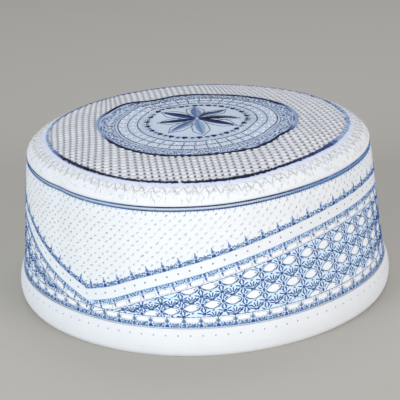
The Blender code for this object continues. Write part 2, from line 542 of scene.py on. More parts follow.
@dataclass
class ThreadWork:
    """Gathers stitches on a face and makes them one mesh of raised threads."""
    face: Face
    paths: list[Array] = field(default_factory=list)
    widths: list[Array] = field(default_factory=list)
    tones: list[Array] = field(default_factory=list)
    rises: list[Array] = field(default_factory=list)
    bases: list[Array] = field(default_factory=list)

    def add(self, paths: Array, widths: Array | float, tones: Array | float,
            rise: float = 0.45, base: float = 0.0, keep: Array | None = None) -> None:
        """Adds stitches.

        Args:
            paths: Working coordinates along each stitch, (n, 5, 2).
            widths: The threads' widths.
            tones: The threads' tones.
            rise: The crest's height, as a share of the width.
            base: How far the thread's underside is lifted off the face.
            keep: Which stitches to keep.
        """
        count = len(paths)
        columns = [np.broadcast_to(np.asarray(value, dtype=float), (count,))
                   for value in (widths, tones, rise, base)]
        chosen = np.ones(count, dtype=bool) if keep is None else keep
        self.paths.append(paths[chosen])
        for store, column in zip((self.widths, self.tones, self.rises, self.bases), columns):
            store.append(column[chosen])

    def build(self, name: str) -> Piece:
        """Makes the mesh: each thread is pointed at both ends and has three sides between."""
        paths = np.concatenate(self.paths)
        widths, tones, rises, bases = (np.concatenate(column) for column in
                                       (self.widths, self.tones, self.rises, self.bases))
        count, stations = paths.shape[:2]
        along = np.gradient(paths, axis=1)
        along /= np.maximum(np.linalg.norm(along, axis=-1, keepdims=True), 1e-9)
        left = pair(-along[..., 1], along[..., 0])
        inner = slice(1, stations - 1)
        half = (widths / 2)[:, None, None]
        sides = [paths[:, inner] + left[:, inner] * half, paths[:, inner],
                 paths[:, inner] - left[:, inner] * half]
        flat = np.concatenate([paths[:, :1], *sides, paths[:, -1:]], axis=1)
        rings = stations - 2
        lifts = np.repeat(bases[:, None], 2 + 3 * rings, axis=1)
        lifts[:, 1 + rings:1 + 2 * rings] += (widths * rises)[:, None]
        ends = [0, 1 + 3 * rings]
        lifts[:, ends] += (widths * rises * TIP_RISE)[:, None]
        points = self.face.place(flat, lifts)
        faces = (thread_faces(rings)[None] + (np.arange(count) * (2 + 3 * rings))[:, None, None])
        length = np.linalg.norm(np.diff(paths, axis=1), axis=-1).sum(axis=1)
        run = np.concatenate([STATIONS[:1], *([STATIONS[1:-1]] * 3), STATIONS[-1:]])
        side = np.concatenate([[0.0], *(np.full(rings, place) for place in (0.5, 0.0, -0.5)), [0.0]])
        uv = pair(run[None] * length[:, None], side[None] * widths[:, None])
        uv[..., 0] += (np.arange(count) * TWIST_SHIFT)[:, None]
        return make_object(name, points.reshape(-1, 3), [faces.reshape(-1, 3)],
                           uv.reshape(-1, 2), {"tone": np.repeat(tones, 2 + 3 * rings)})


def thread_faces(rings: int) -> Array:
    """Returns the triangles of one thread: two pointed ends and a three-sided run between them."""
    left = 1 + np.arange(rings)
    crest = left + rings
    right = crest + rings
    last = 1 + 3 * rings
    faces = [(0, crest[0], left[0]), (0, right[0], crest[0]), (0, left[0], right[0]),
             (last, left[-1], crest[-1]), (last, crest[-1], right[-1]), (last, right[-1], left[-1])]
    for first, second in ((left, crest), (crest, right), (right, left)):
        for ring in range(rings - 1):
            faces.append((first[ring], second[ring], second[ring + 1]))
            faces.append((first[ring], second[ring + 1], first[ring + 1]))
    return np.array(faces)


@dataclass
class PadWork:
    """Gathers small raised pads of satin stitch, each a closed lens over an outline.

    The ring inside the outline has a share of its size and of the pad's rise.
    """
    face: Face
    ring_size: float = 0.72
    ring_rise: float = 0.8
    edge_lift: float = 0.02 * MM
    underside_lift: float = 0.01 * MM
    outlines: list[Array] = field(default_factory=list)
    rises: list[float] = field(default_factory=list)

    def add(self, chart: Array, origins: Array, headings: Array, rise: float,
            scales: Array | tuple[float, float] = (1.0, 1.0),
            ceiling: Callable[[Array], Array] | None = None,
            ground: float | None = None) -> None:
        """Adds a pad of the chart's outline at each origin.

        Args:
            chart: The outline about its own origin, in mm, (m, 2).
            origins: Working coordinates, (n, 2).
            headings: Angle of the chart's x axis at each origin.
            rise: How far the pad's middle stands off the face.
            scales: Factors along and across the chart.
            ceiling: The highest up coordinate allowed at each across coordinate.
            ground: The lowest up coordinate allowed.
        """
        across, up = np.moveaxis(laid(chart * MM, origins, headings, scales), -1, 0)
        if ceiling is not None:
            up = np.minimum(up, ceiling(across))
        if ground is not None:
            up = np.maximum(up, ground)
        self.outlines.extend(pair(across, up))
        self.rises.extend([rise] * len(origins))

    def build(self, name: str) -> Piece:
        """Makes the mesh: an outline, a raised inner ring, a crest and an underside point."""
        outline = np.stack(self.outlines)
        rises = np.array(self.rises)[:, None]
        count, corners = outline.shape[:2]
        middle = outline.mean(axis=1, keepdims=True)
        ring = middle + (outline - middle) * self.ring_size
        flat = np.concatenate([outline, ring, middle, middle], axis=1)
        lifts = np.concatenate([np.full((count, corners), self.edge_lift),
                                np.repeat(rises * self.ring_rise, corners, 1),
                                rises, np.full((count, 1), self.underside_lift)], axis=1)
        points = self.face.place(flat, lifts)
        start = np.arange(corners)
        after = (start + 1) % corners
        crest = np.full(corners, 2 * corners)
        faces = np.concatenate([
            np.stack([start, after, corners + after], axis=-1),
            np.stack([start, corners + after, corners + start], axis=-1),
            np.stack([corners + start, corners + after, crest], axis=-1),
            np.stack([after, start, crest + 1], axis=-1)])
        faces = faces[None] + (np.arange(count) * (2 * corners + 2))[:, None, None]
        return make_object(name, points.reshape(-1, 3), [faces.reshape(-1, 3)],
                           flat.reshape(-1, 2), {"tone": np.zeros(count * (2 * corners + 2))})


# Node groups and finishes

class GroupKit:
    """Builds a shader node group with named sockets."""

    def __init__(self, name: str, inputs: dict[str, tuple[str, float]], outputs: dict[str, str]) -> None:
        """Makes the group's interface: inputs with their kind and default, outputs with a kind."""
        self.tree = bpy.data.node_groups.new(name, "ShaderNodeTree")
        for socket, (kind, default) in inputs.items():
            made = self.tree.interface.new_socket(socket, in_out="INPUT", socket_type=kind)
            if kind == "NodeSocketFloat":
                made.default_value = default
        for socket, kind in outputs.items():
            self.tree.interface.new_socket(socket, in_out="OUTPUT", socket_type=kind)
        self.source = self.tree.nodes.new("NodeGroupInput")
        self.sink = self.tree.nodes.new("NodeGroupOutput")

    def math(self, operation: str, first: object, second: object = 0.0) -> Socket:
        """Adds a Math node on two sockets or numbers and returns its result."""
        return math_node(self.tree, operation, first, second)


def feed(tree: Nodes, socket: Socket, value: object) -> None:
    """Links a socket to a value's socket, or sets it to the value's number."""
    if isinstance(value, Socket):
        tree.links.new(value, socket)
    else:
        socket.default_value = value


def math_node(tree: Nodes, operation: str, first: object, second: object = 0.0) -> Socket:
    """Adds a Math node and returns its result."""
    node = tree.nodes.new("ShaderNodeMath")
    node.operation = operation
    feed(tree, node.inputs[0], first)
    feed(tree, node.inputs[1], second)
    return node.outputs[0]


def mix_node(tree: Nodes, factor: object, first: object, second: object) -> Socket:
    """Adds a colour Mix node and returns its result."""
    node = tree.nodes.new("ShaderNodeMix")
    node.data_type = "RGBA"
    feed(tree, node.inputs["Factor"], factor)
    feed(tree, node.inputs["A"], first)
    feed(tree, node.inputs["B"], second)
    return node.outputs["Result"]


def mark_node(tree: Nodes, name: str) -> Socket:
    """Reads a mesh attribute as a number."""
    node = tree.nodes.new("ShaderNodeAttribute")
    node.attribute_name = name
    return node.outputs["Fac"]


def make_weave_group() -> Nodes:
    """Plain weave: the product of two sine rows at right angles, in metres of cloth.

    Inputs: Cloth, the UV map; Pitch, the distance between threads. Outputs: Height, 0 to 1.
    """
    inputs = {"Cloth": ("NodeSocketVector", 0.0), "Pitch": ("NodeSocketFloat", 0.5 * MM)}
    kit = GroupKit("plain_weave", inputs, {"Height": "NodeSocketFloat"})
    split = kit.tree.nodes.new("ShaderNodeSeparateXYZ")
    kit.tree.links.new(kit.source.outputs["Cloth"], split.inputs[0])
    waves = []
    for axis in ("X", "Y"):
        phase = kit.math("DIVIDE", split.outputs[axis], kit.source.outputs["Pitch"])
        waves.append(kit.math("SINE", kit.math("MULTIPLY", phase, math.pi)))
    product = kit.math("MULTIPLY", waves[0], waves[1])
    height = kit.math("MULTIPLY", kit.math("ADD", product, 1.0), 0.5)
    kit.tree.links.new(height, kit.sink.inputs["Height"])
    return kit.tree


def make_mottle_group() -> Nodes:
    """Slow and fine unevenness of tone, read from Object coordinates.

    Inputs: Size, the size of the slow patches. Outputs: Slow and Fine, each 0 to 1.
    """
    kit = GroupKit("cloth_mottle", {"Size": ("NodeSocketFloat", 12 * MM)},
                   {"Slow": "NodeSocketFloat", "Fine": "NodeSocketFloat"})
    place = kit.tree.nodes.new("ShaderNodeTexCoord")
    for output, share in (("Slow", 1.0), ("Fine", 0.05)):
        noise = kit.tree.nodes.new("ShaderNodeTexNoise")
        noise.inputs["Detail"].default_value = 3.0
        kit.tree.links.new(place.outputs["Object"], noise.inputs["Vector"])
        size = kit.math("MULTIPLY", kit.source.outputs["Size"], share)
        kit.tree.links.new(kit.math("DIVIDE", 1.0, size), noise.inputs["Scale"])
        kit.tree.links.new(noise.outputs[0], kit.sink.inputs[output])
    return kit.tree


def place_group(tree: Nodes, group: Nodes, **values: object) -> bpy.types.ShaderNodeGroup:
    """Places a node group in a material and feeds its named inputs."""
    node = tree.nodes.new("ShaderNodeGroup")
    node.node_tree = group
    for socket, value in values.items():
        feed(tree, node.inputs[socket], value)
    return node


def add_bump(tree: Nodes, shader: bpy.types.Node, height: Socket, strength: float, distance: float) -> None:
    """Feeds a height through a Bump node to the shader's normal."""
    bump = tree.nodes.new("ShaderNodeBump")
    bump.inputs["Strength"].default_value = strength
    bump.inputs["Distance"].default_value = distance
    tree.links.new(height, bump.inputs["Height"])
    tree.links.new(bump.outputs[0], shader.inputs["Normal"])


def cloth_map(tree: Nodes) -> Socket:
    """Reads the piece's UV map, in metres of cloth."""
    node = tree.nodes.new("ShaderNodeUVMap")
    node.uv_map = "cloth"
    return node.outputs[0]


def new_material(name: str, roughness: float, sheen: float = 0.0,
                 specular: float = 0.5) -> tuple[bpy.types.Material, bpy.types.Node]:
    """Makes a material and sets the plain values of its shader.

    Args:
        name: The material's name.
        roughness: Its roughness.
        sheen: The weight of its sheen.
        specular: The level of its reflection.

    Returns:
        The material and its Principled BSDF.
    """
    material = bpy.data.materials.new(name)
    material.use_nodes = True
    shader = material.node_tree.nodes["Principled BSDF"]
    shader.inputs["Roughness"].default_value = roughness
    shader.inputs["Sheen Weight"].default_value = sheen
    shader.inputs["Specular IOR Level"].default_value = specular
    return material, shader


def rgba(red: float, green: float, blue: float) -> tuple[float, float, float, float]:
    """Returns a colour given as screen values 0 to 1, made linear for the shader."""
    return (*(((value + 0.055) / 1.055) ** 2.4 if value > 0.04 else value / 12.92
              for value in (red, green, blue)), 1.0)


@dataclass(frozen=True)
class ClothFinish:
    """Woven cotton: mottled colour, a weave with painted shade in its gaps, and a share dyed or painted as
    hole shade.
    """
    name: str
    colour: tuple[float, float, float]
    shade: tuple[float, float, float]
    # marked: the colour that a mark lays on, either dye or the crown's painted hole shade
    marked: tuple[float, float, float]
    mark: str = "dye"
    pitch: float = 0.55 * MM
    relief: float = 0.10 * MM
    roughness: float = 0.9
    patch: float = 14 * MM
    slow_share: float = 0.55
    # painted shade in the weave's gaps: how much, and how dark against the shade colour
    gap_shadow_share: float = 0.10
    gap_shadow_darkness: float = 0.55
    sheen: float = 0.15
    specular: float = 0.25
    bump: float = 0.6

    def build(self, weave: Nodes, mottle: Nodes) -> bpy.types.Material:
        """Makes the material."""
        material, shader = new_material(self.name, self.roughness, self.sheen, self.specular)
        tree = material.node_tree
        woven = place_group(tree, weave, Cloth=cloth_map(tree), Pitch=self.pitch)
        uneven = place_group(tree, mottle, Size=self.patch)
        slow = math_node(tree, "MULTIPLY", uneven.outputs["Slow"], self.slow_share)
        fine = math_node(tree, "MULTIPLY", uneven.outputs["Fine"], 1.0 - self.slow_share)
        blend = math_node(tree, "ADD", slow, fine)
        base = mix_node(tree, blend, rgba(*self.colour), rgba(*self.shade))
        depth = math_node(tree, "SUBTRACT", 1.0, woven.outputs["Height"])
        # painted shade: the colour darkens in the weave's gaps, where its threads dip
        gaps = math_node(tree, "MULTIPLY", depth, self.gap_shadow_share)
        base = mix_node(tree, gaps, base, rgba(*(self.gap_shadow_darkness * value for value in self.shade)))
        coloured = mix_node(tree, mark_node(tree, self.mark), base, rgba(*self.marked))
        tree.links.new(coloured, shader.inputs["Base Color"])
        relief = math_node(tree, "ADD", woven.outputs["Height"], uneven.outputs["Fine"])
        add_bump(tree, shader, relief, self.bump, self.relief)
        return material


@dataclass(frozen=True)
class ThreadFinish:
    """Embroidery thread: a scale of tones along the mark named tone, with twist and sheen."""
    name: str
    scale: tuple[tuple[float, tuple[float, float, float]], ...]
    roughness: float = 0.7
    twist: float = 0.30 * MM
    relief: float = 0.05 * MM
    patch: float = 5 * MM
    drift: float = 0.5
    sheen: float = 0.05
    specular: float = 0.2
    bump: float = 0.4

    def build(self, mottle: Nodes) -> bpy.types.Material:
        """Makes the material."""
        material, shader = new_material(self.name, self.roughness, self.sheen, self.specular)
        tree = material.node_tree
        uneven = place_group(tree, mottle, Size=self.patch)
        drift = math_node(tree, "SUBTRACT", uneven.outputs["Fine"], 0.5)
        drift = math_node(tree, "MULTIPLY", drift, self.drift)
        tone = math_node(tree, "ADD", mark_node(tree, "tone"), drift)
        ramp = tree.nodes.new("ShaderNodeValToRGB")
        ramp.color_ramp.elements.remove(ramp.color_ramp.elements[1])
        ramp.color_ramp.elements[0].position = self.scale[0][0]
        ramp.color_ramp.elements[0].color = rgba(*self.scale[0][1])
        for position, colour in self.scale[1:]:
            ramp.color_ramp.elements.new(position).color = rgba(*colour)
        tree.links.new(tone, ramp.inputs["Fac"])
        tree.links.new(ramp.outputs["Color"], shader.inputs["Base Color"])
        split = tree.nodes.new("ShaderNodeSeparateXYZ")
        tree.links.new(cloth_map(tree), split.inputs[0])
        slant = math_node(tree, "ADD", split.outputs["X"], split.outputs["Y"])
        turns = math_node(tree, "SINE", math_node(tree, "MULTIPLY", slant, TURN / self.twist))
        add_bump(tree, shader, turns, self.bump, self.relief)
        return material


# each scale: tone, then its colour as screen values
BLUE_SCALE = ((0.0, (0.86, 0.92, 0.97)), (0.3, (0.60, 0.75, 0.91)), (0.55, (0.38, 0.57, 0.79)),
              (0.8, (0.17, 0.32, 0.60)), (1.0, (0.07, 0.10, 0.29)))
INK_SCALE = ((0.0, (0.88, 0.91, 0.95)), (0.3, (0.66, 0.74, 0.84)), (0.55, (0.40, 0.50, 0.69)),
             (0.8, (0.19, 0.26, 0.47)), (1.0, (0.06, 0.09, 0.23)))
# grey thread, and the painted shade of the wall's eyelets and holes and of the hem's holes
GREY_AND_HOLE_SHADE_SCALE = ((0.0, (0.93, 0.935, 0.94)), (0.5, (0.70, 0.70, 0.71)), (1.0, (0.30, 0.31, 0.36)))
# white thread of the pads, and the painted highlights on the crown's bricks
WHITE_AND_HIGHLIGHT_SCALE = ((0.0, (0.93, 0.94, 0.96)), (1.0, (0.80, 0.84, 0.90)))


class Palette:
    """The cap's materials, made once."""

    def __init__(self) -> None:
        """Builds the shared node groups and every finish."""
        weave = make_weave_group()
        mottle = make_mottle_group()
        self.wall = ClothFinish("wall_cotton", (0.93, 0.94, 0.95), (0.87, 0.885, 0.91),
                                (0.81, 0.89, 0.96)).build(weave, mottle)
        self.shoulder = ClothFinish("shoulder_cotton", (0.93, 0.935, 0.94), (0.86, 0.87, 0.89),
                                    (0.76, 0.81, 0.95)).build(weave, mottle)
        self.hem = ClothFinish("hem_cotton", (0.91, 0.92, 0.93), (0.85, 0.86, 0.88),
                               (0.5, 0.52, 0.56), pitch=0.7 * MM).build(weave, mottle)
        # The crown's mark is painted shade: dark blue-grey in its holes and grooves, and each cell's random
        # tone.
        self.field = ClothFinish("crown_cotton", (0.96, 0.96, 0.97), (0.86, 0.86, 0.89),
                                 (0.15, 0.15, 0.22), mark="hole_shade").build(weave, mottle)
        self.medallion = ClothFinish("medallion_cotton", (0.87, 0.90, 0.94), (0.72, 0.77, 0.84),
                                     (0.64, 0.71, 0.81)).build(weave, mottle)
        self.blue = ThreadFinish("blue_thread", BLUE_SCALE).build(mottle)
        self.ink = ThreadFinish("ink_thread", INK_SCALE).build(mottle)
        # grey thread for the zigzag, and painted shade for the eyelets and holes
        self.grey = ThreadFinish("grey_thread_and_hole_shade", GREY_AND_HOLE_SHADE_SCALE, roughness=0.8).build(mottle)
        # white thread for the pads and specks, and painted highlights on the bricks
        self.white = ThreadFinish("white_thread_and_highlights", WHITE_AND_HIGHLIGHT_SCALE, roughness=0.55).build(mottle)


def finish_piece(piece: Piece, material: bpy.types.Material, slot: str, *nodes: str) -> None:
    """Dresses a piece, fixes it to the cap's one body and hides the solids that it replaces.

    Args:
        piece: The piece.
        material: Its finish.
        slot: Not used.
        nodes: The solids that it replaces.
    """
    piece.data.materials.append(material)
    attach(piece, "root")
    if nodes:
        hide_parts(*nodes)
    triangles = sum(len(polygon.vertices) - 2 for polygon in piece.data.polygons)
    LOG.info("%s: %d triangles", piece.name, triangles)


# Lines across the side

GATHER = math.radians(1.34)         # furthest that a repeat is eased along
GATHER_FROM = math.radians(-40.0)   # an azimuth at which it isn't


def eased(across: Array) -> Array:
    """Returns where evenly spaced repeats come to lie: the cloth is eased along three times round."""
    phase = 3 * (across / WALL_FACE.girth_radius - GATHER_FROM)
    return across + GATHER * np.sin(phase) * WALL_FACE.girth_radius


@dataclass
class Wave:
    """The wave of the side band: one line that falls to a valley twice round the cap.

    The rows give degrees past a valley and the height of the border's foot there, in mm.
    """
    valley: float = -128.3
    most_stretch: float = 1.08
    samples: int = 2000
    rows: tuple[tuple[float, float], ...] = (
        (0.0, 27.6), (8.3, 31.5), (18.3, 37.8), (28.3, 42.9), (38.3, 47.2), (48.3, 51.0),
        (58.3, 54.1), (68.3, 56.6), (78.3, 58.4), (90.0, 59.6), (102.0, 60.1), (114.0, 59.6),
        (125.0, 57.2), (134.0, 53.4), (143.3, 48.5), (153.3, 42.3), (163.3, 36.4), (173.3, 31.0),
        (180.0, 27.6))

    def height(self, across: Array) -> Array:
        """Returns the wave's height: a smooth curve through the rows, repeated each half turn."""
        degrees = (np.degrees(across / WALL_FACE.girth_radius) - self.valley) % 180.0
        return hermite(np.array(self.rows), degrees) * MM

    def slope(self, across: Array) -> Array:
        """Returns the wave's rise for each metre across."""
        step = 0.3 * MM
        return (self.height(across + step) - self.height(across - step)) / (2 * step)

    def below(self, across: Array, depth: float) -> Array:
        """Returns the height of the line that runs a depth below the wave.

        The depth is measured square to the wave, up to its most stretch where the wave is steep.
        """
        stretch = np.minimum(np.sqrt(1.0 + self.slope(across) ** 2), self.most_stretch)
        return self.height(across) - depth * stretch

    def spaced(self, depth: float, count: int, start: float = 0.0) -> tuple[Array, Array]:
        """Returns places evenly spaced along the line at a depth, and their headings.

        Args:
            depth: How far below the wave the line runs.
            count: How many places there are in half a turn.
            start: The first place, as a share of the spacing past the valley.

        Returns:
            Working coordinates (n, 2) and headings (n,).
        """
        half_turn = WALL_FACE.girth / 2
        across = WALL_FACE.bearing(self.valley) + np.linspace(0.0, half_turn, self.samples)
        up = self.below(across, depth)
        phase = 3 * (across[1:] / WALL_FACE.girth_radius - GATHER_FROM)
        steps = np.hypot(np.diff(across), np.diff(up)) / (1.0 + 3 * GATHER * np.cos(phase))
        along = np.concatenate([[0.0], np.cumsum(steps)])
        places = (np.arange(count) + start) * along[-1] / count
        chosen = np.interp(places, along, across)
        chosen = np.concatenate([chosen, chosen + half_turn])
        return pair(chosen, self.below(chosen, depth)), np.arctan(self.slope(chosen))


def running_line(across: Array, up: Array) -> Array:
    """Returns the paths of thread lengths laid end to end along a line of places."""
    places = pair(across, up)
    return bowed_paths(places[:-1], places[1:])


WAVE = Wave()
BAND_DEPTH = 5.8 * MM           # depth of the plain strip's lower edge
CHAIN_DEPTH = BAND_DEPTH + 1.2 * MM  # depth of the border below the strip
FIELD_TOP = 11.2 * MM           # depth of the line that closes the main field above
FIELD_FOOT = 5.3 * MM           # height above the hem of the line that closes it below
FIELD_BASE = HEM_HEIGHT + FIELD_FOOT  # that line's height
UPPER_REPEATS = 34              # repeats of the upper border in half a turn
LOWER_REPEATS = 35              # repeats of the border below the strip in half a turn
STRIP_HOLES = 49                # holes of the strip in half a turn
HEM_REPEATS = 67                # repeats of the border along the hem, all round
HEM_START = 0.07                # share of a repeat at which they start, before easing
LATTICE_COLUMNS = 54            # columns of lozenges, all round
LATTICE_TURN = 0.62             # share of the wave's own angle that a cell turns by
LATTICE_ROW = 10.9              # height of the charted cell, in mm
LATTICE_COLUMN = 10.5           # its width, in mm
LATTICE_PITCH = WALL_FACE.girth / LATTICE_COLUMNS
LATTICE_PHASE = 0.3             # azimuth of one column at the hem before easing, in degrees
LATTICE_LEAN = -0.10            # how far the columns lean for each metre of height
ROW_ORIGIN = -4.5 * MM          # height that all the field's rows fan out from
FIRST_ROW = 0.743               # share of the wave's height at the first row of lozenges
ROW_STEP = 0.1752               # share from one row to the next
BORDER_LIFT = 0.05 * MM         # how far the borders' motifs stand off the cloth


TREE = Motif((
    Stroke((-1.3, 0.45), (1.3, 0.45), 0.85, Tone.DEEP),
    Stroke((-1.0, 1.2), (1.0, 1.2), 0.8, Tone.DEEP),
    Stroke((0.0, 1.4), (0.0, 2.9), 0.75, Tone.MID),
    Stroke((-0.95, 2.6), (0.95, 2.6), 0.7, Tone.MID),
    Stroke((-0.6, 3.25), (0.6, 3.25), 0.65, Tone.MID),
    Stroke((0.0, 3.4), (0.0, 5.0), 0.5, Tone.MID),
    *mirrored((
        Stroke((1.3, 1.2), (1.8, 2.3), 0.7, Tone.MID),
        Stroke((1.6, 0.3), (2.5, 0.5), 0.85, Tone.DEEP),
        Stroke((2.5, 0.95), (3.3, 0.8), 0.8, Tone.MID),
        Stroke((2.9, 0.25), (3.9, 0.3), 0.7, Tone.LIGHT),
        Stroke((2.2, 1.7), (2.9, 1.9), 0.8, Tone.DEEP),
        Stroke((3.3, 1.3), (4.0, 1.55), 0.8, Tone.DEEP),
        Stroke((3.7, 0.7), (4.4, 0.75), 0.8, Tone.MID),
        Stroke((3.9, 2.1), (4.4, 2.15), 0.7, Tone.MID),
    )),
))

CHAIN = Motif((
    Stroke((-0.9, 0.75), (0.9, 0.75), 0.6, Tone.DEEP),
    Stroke((-0.8, 0.05), (0.8, 0.05), 0.55, Tone.DEEP),
    Stroke((-0.6, -0.6), (0.6, -0.6), 0.55, Tone.MID),
    Stroke((0.0, -0.8), (0.0, -1.8), 0.5, Tone.MID),
    Stroke((-0.6, -1.8), (0.6, -1.8), 0.6, Tone.DEEP),
    Stroke((0.0, -2.0), (0.0, -3.0), 0.45, Tone.DEEP),
    *mirrored((
        Stroke((1.2, 0.85), (2.1, 0.95), 0.7, Tone.MID),
        Stroke((1.6, 0.1), (2.5, 0.2), 0.75, Tone.DEEP),
        Stroke((1.2, -0.6), (2.0, -0.7), 0.65, Tone.LIGHT),
        Stroke((2.6, 0.85), (3.4, 0.75), 0.75, Tone.MID),
        Stroke((2.4, -0.5), (3.2, -0.55), 0.7, Tone.MID),
        Stroke((3.0, 0.2), (3.8, 0.15), 0.6, Tone.LIGHT),
        Stroke((3.7, -0.4), (4.4, -0.5), 0.7, Tone.DEEP),
        Stroke((3.9, 0.8), (4.4, 0.85), 0.65, Tone.LIGHT),
    )),
))

HEM_TREE = Motif((
    Stroke((-1.1, 0.6), (1.1, 0.6), 0.85, Tone.DEEP),
    Stroke((-0.9, 1.3), (0.9, 1.3), 0.8, Tone.DEEP),
    Stroke((0.0, 1.7), (0.0, 2.9), 0.65, Tone.MID),
    Stroke((-0.9, 2.9), (0.9, 2.9), 0.7, Tone.MID),
    Stroke((-0.65, 3.55), (0.65, 3.55), 0.65, Tone.MID),
    Stroke((-0.35, 4.15), (0.35, 4.15), 0.6, Tone.MID),
    Stroke((0.0, 4.2), (0.0, 5.2), 0.45, Tone.MID),
    *mirrored((
        Stroke((1.2, 1.5), (1.8, 2.2), 0.65, Tone.MID),
        Stroke((1.4, 0.5), (2.3, 0.5), 0.8, Tone.DEEP),
        Stroke((1.6, 1.15), (2.5, 1.2), 0.7, Tone.LIGHT),
        Stroke((2.4, 1.7), (3.1, 1.8), 0.75, Tone.DEEP),
        Stroke((2.5, 0.55), (3.3, 0.65), 0.75, Tone.MID),
        Stroke((2.8, 1.1), (3.6, 1.2), 0.75, Tone.DEEP),
        Stroke((3.4, 0.5), (4.2, 0.5), 0.75, Tone.MID),
        Stroke((3.6, 1.7), (4.2, 1.6), 0.7, Tone.MID),
    )),
))


def fan(centre: tuple[float, float], middle: float, spread: float, count: int, inner: float,
        outer: float, width: float, tone: Tone) -> tuple[Stroke, ...]:
    """Charts strokes that radiate from a centre.

    Args:
        centre: The centre, in mm.
        middle: Direction of the fan's middle, in degrees.
        spread: Angle from its first stroke to its last, in degrees.
        count: Number of strokes.
        inner: Where each starts, in mm from the centre.
        outer: Where each ends.
        width: The thread's width, in mm.
        tone: The thread's tone.

    Returns:
        The strokes.
    """
    strokes = []
    for step in range(count):
        angle = math.radians(middle - spread / 2 + spread * step / (count - 1))
        cos, sin = math.cos(angle), math.sin(angle)
        strokes.append(Stroke((centre[0] + inner * cos, centre[1] + inner * sin),
                              (centre[0] + outer * cos, centre[1] + outer * sin), width, tone))
    return tuple(strokes)


CELL = Motif((
    Stroke((-4.4, 0.0), (0.0, 2.5), 0.26, Tone.MID, 0.5),
    Stroke((0.0, 2.5), (4.4, 0.0), 0.26, Tone.MID, 0.5),
    Stroke((4.4, 0.0), (0.0, -2.5), 0.26, Tone.MID, 0.5),
    Stroke((0.0, -2.5), (-4.4, 0.0), 0.26, Tone.MID, 0.5),
    Stroke((5.25, -0.4), (5.25, 1.8), 0.9, Tone.DEEP),
    Stroke((4.55, 1.0), (5.95, 1.0), 0.85, Tone.DEEP),
    Stroke((4.65, 0.3), (5.85, 0.3), 0.8, Tone.DEEP),
    *fan((5.25, 0.6), -90.0, 92.0, 4, 1.2, 3.8, 0.54, Tone.DEEP),
    *fan((5.25, 0.6), 90.0, 100.0, 4, 1.3, 3.6, 0.5, Tone.DEEP),
    Stroke((4.3, -4.9), (6.2, -4.9), 1.35, Tone.DEEP),
    Stroke((5.25, -5.75), (5.25, -4.05), 1.35, Tone.DEEP),
    *fan((5.25, -4.9), -90.0, 315.0, 8, 1.0, 3.5, 0.56, Tone.DEEP),
    Stroke((-1.3, -7.6), (0.0, -8.0), 1.0, Tone.DEEP),
    Stroke((1.3, -7.6), (0.0, -8.0), 1.0, Tone.DEEP),
    *fan((0.0, -7.9), 90.0, 132.0, 6, 1.1, 4.1, 0.54, Tone.DEEP),
    Stroke((-0.5, -3.2), (0.5, -3.2), 0.7, Tone.DEEP),
))


def rounded(half_width: float, half_height: float, power: float, start: float) -> Array:
    """Returns the outline |x/a|^power + |y/b|^power = 1 as 16 points, in mm.

    Args:
        half_width: The outline's a.
        half_height: Its b.
        power: 1.5 gives a diamond with full sides, and 5 a rectangle with round corners.
        start: The first point, as a share of the step from one to the next.

    Returns:
        Points as (16, 2).
    """
    angle = np.radians(azimuths(16, start=start))
    cos, sin = np.cos(angle), np.sin(angle)
    x = half_width * np.sign(cos) * np.abs(cos) ** (2.0 / power)
    y = half_height * np.sign(sin) * np.abs(sin) ** (2.0 / power)
    return pair(x, y)


def field_dye(across: Array, height: Array) -> Array:
    """Returns how far the wall is tinted: the main field, and a little less its borders."""
    soft = 0.8 * MM
    top = WAVE.below(across, FIELD_TOP)
    upper = WAVE.height(across)
    lower = WAVE.below(across, CHAIN_DEPTH)
    inside = within(height, FIELD_BASE - soft / 2, soft, top + soft / 2, soft)
    border = within(height, HEM_HEIGHT, 0.5 * MM, HEM_HEIGHT + 2.2 * MM, soft)
    border += within(height, upper, 0.6 * MM, upper + 1.9 * MM, soft)
    border += ease((1.5 * MM - np.abs(height - lower)) / soft)
    return np.clip(inside + border * 0.8, 0.0, 1.0)


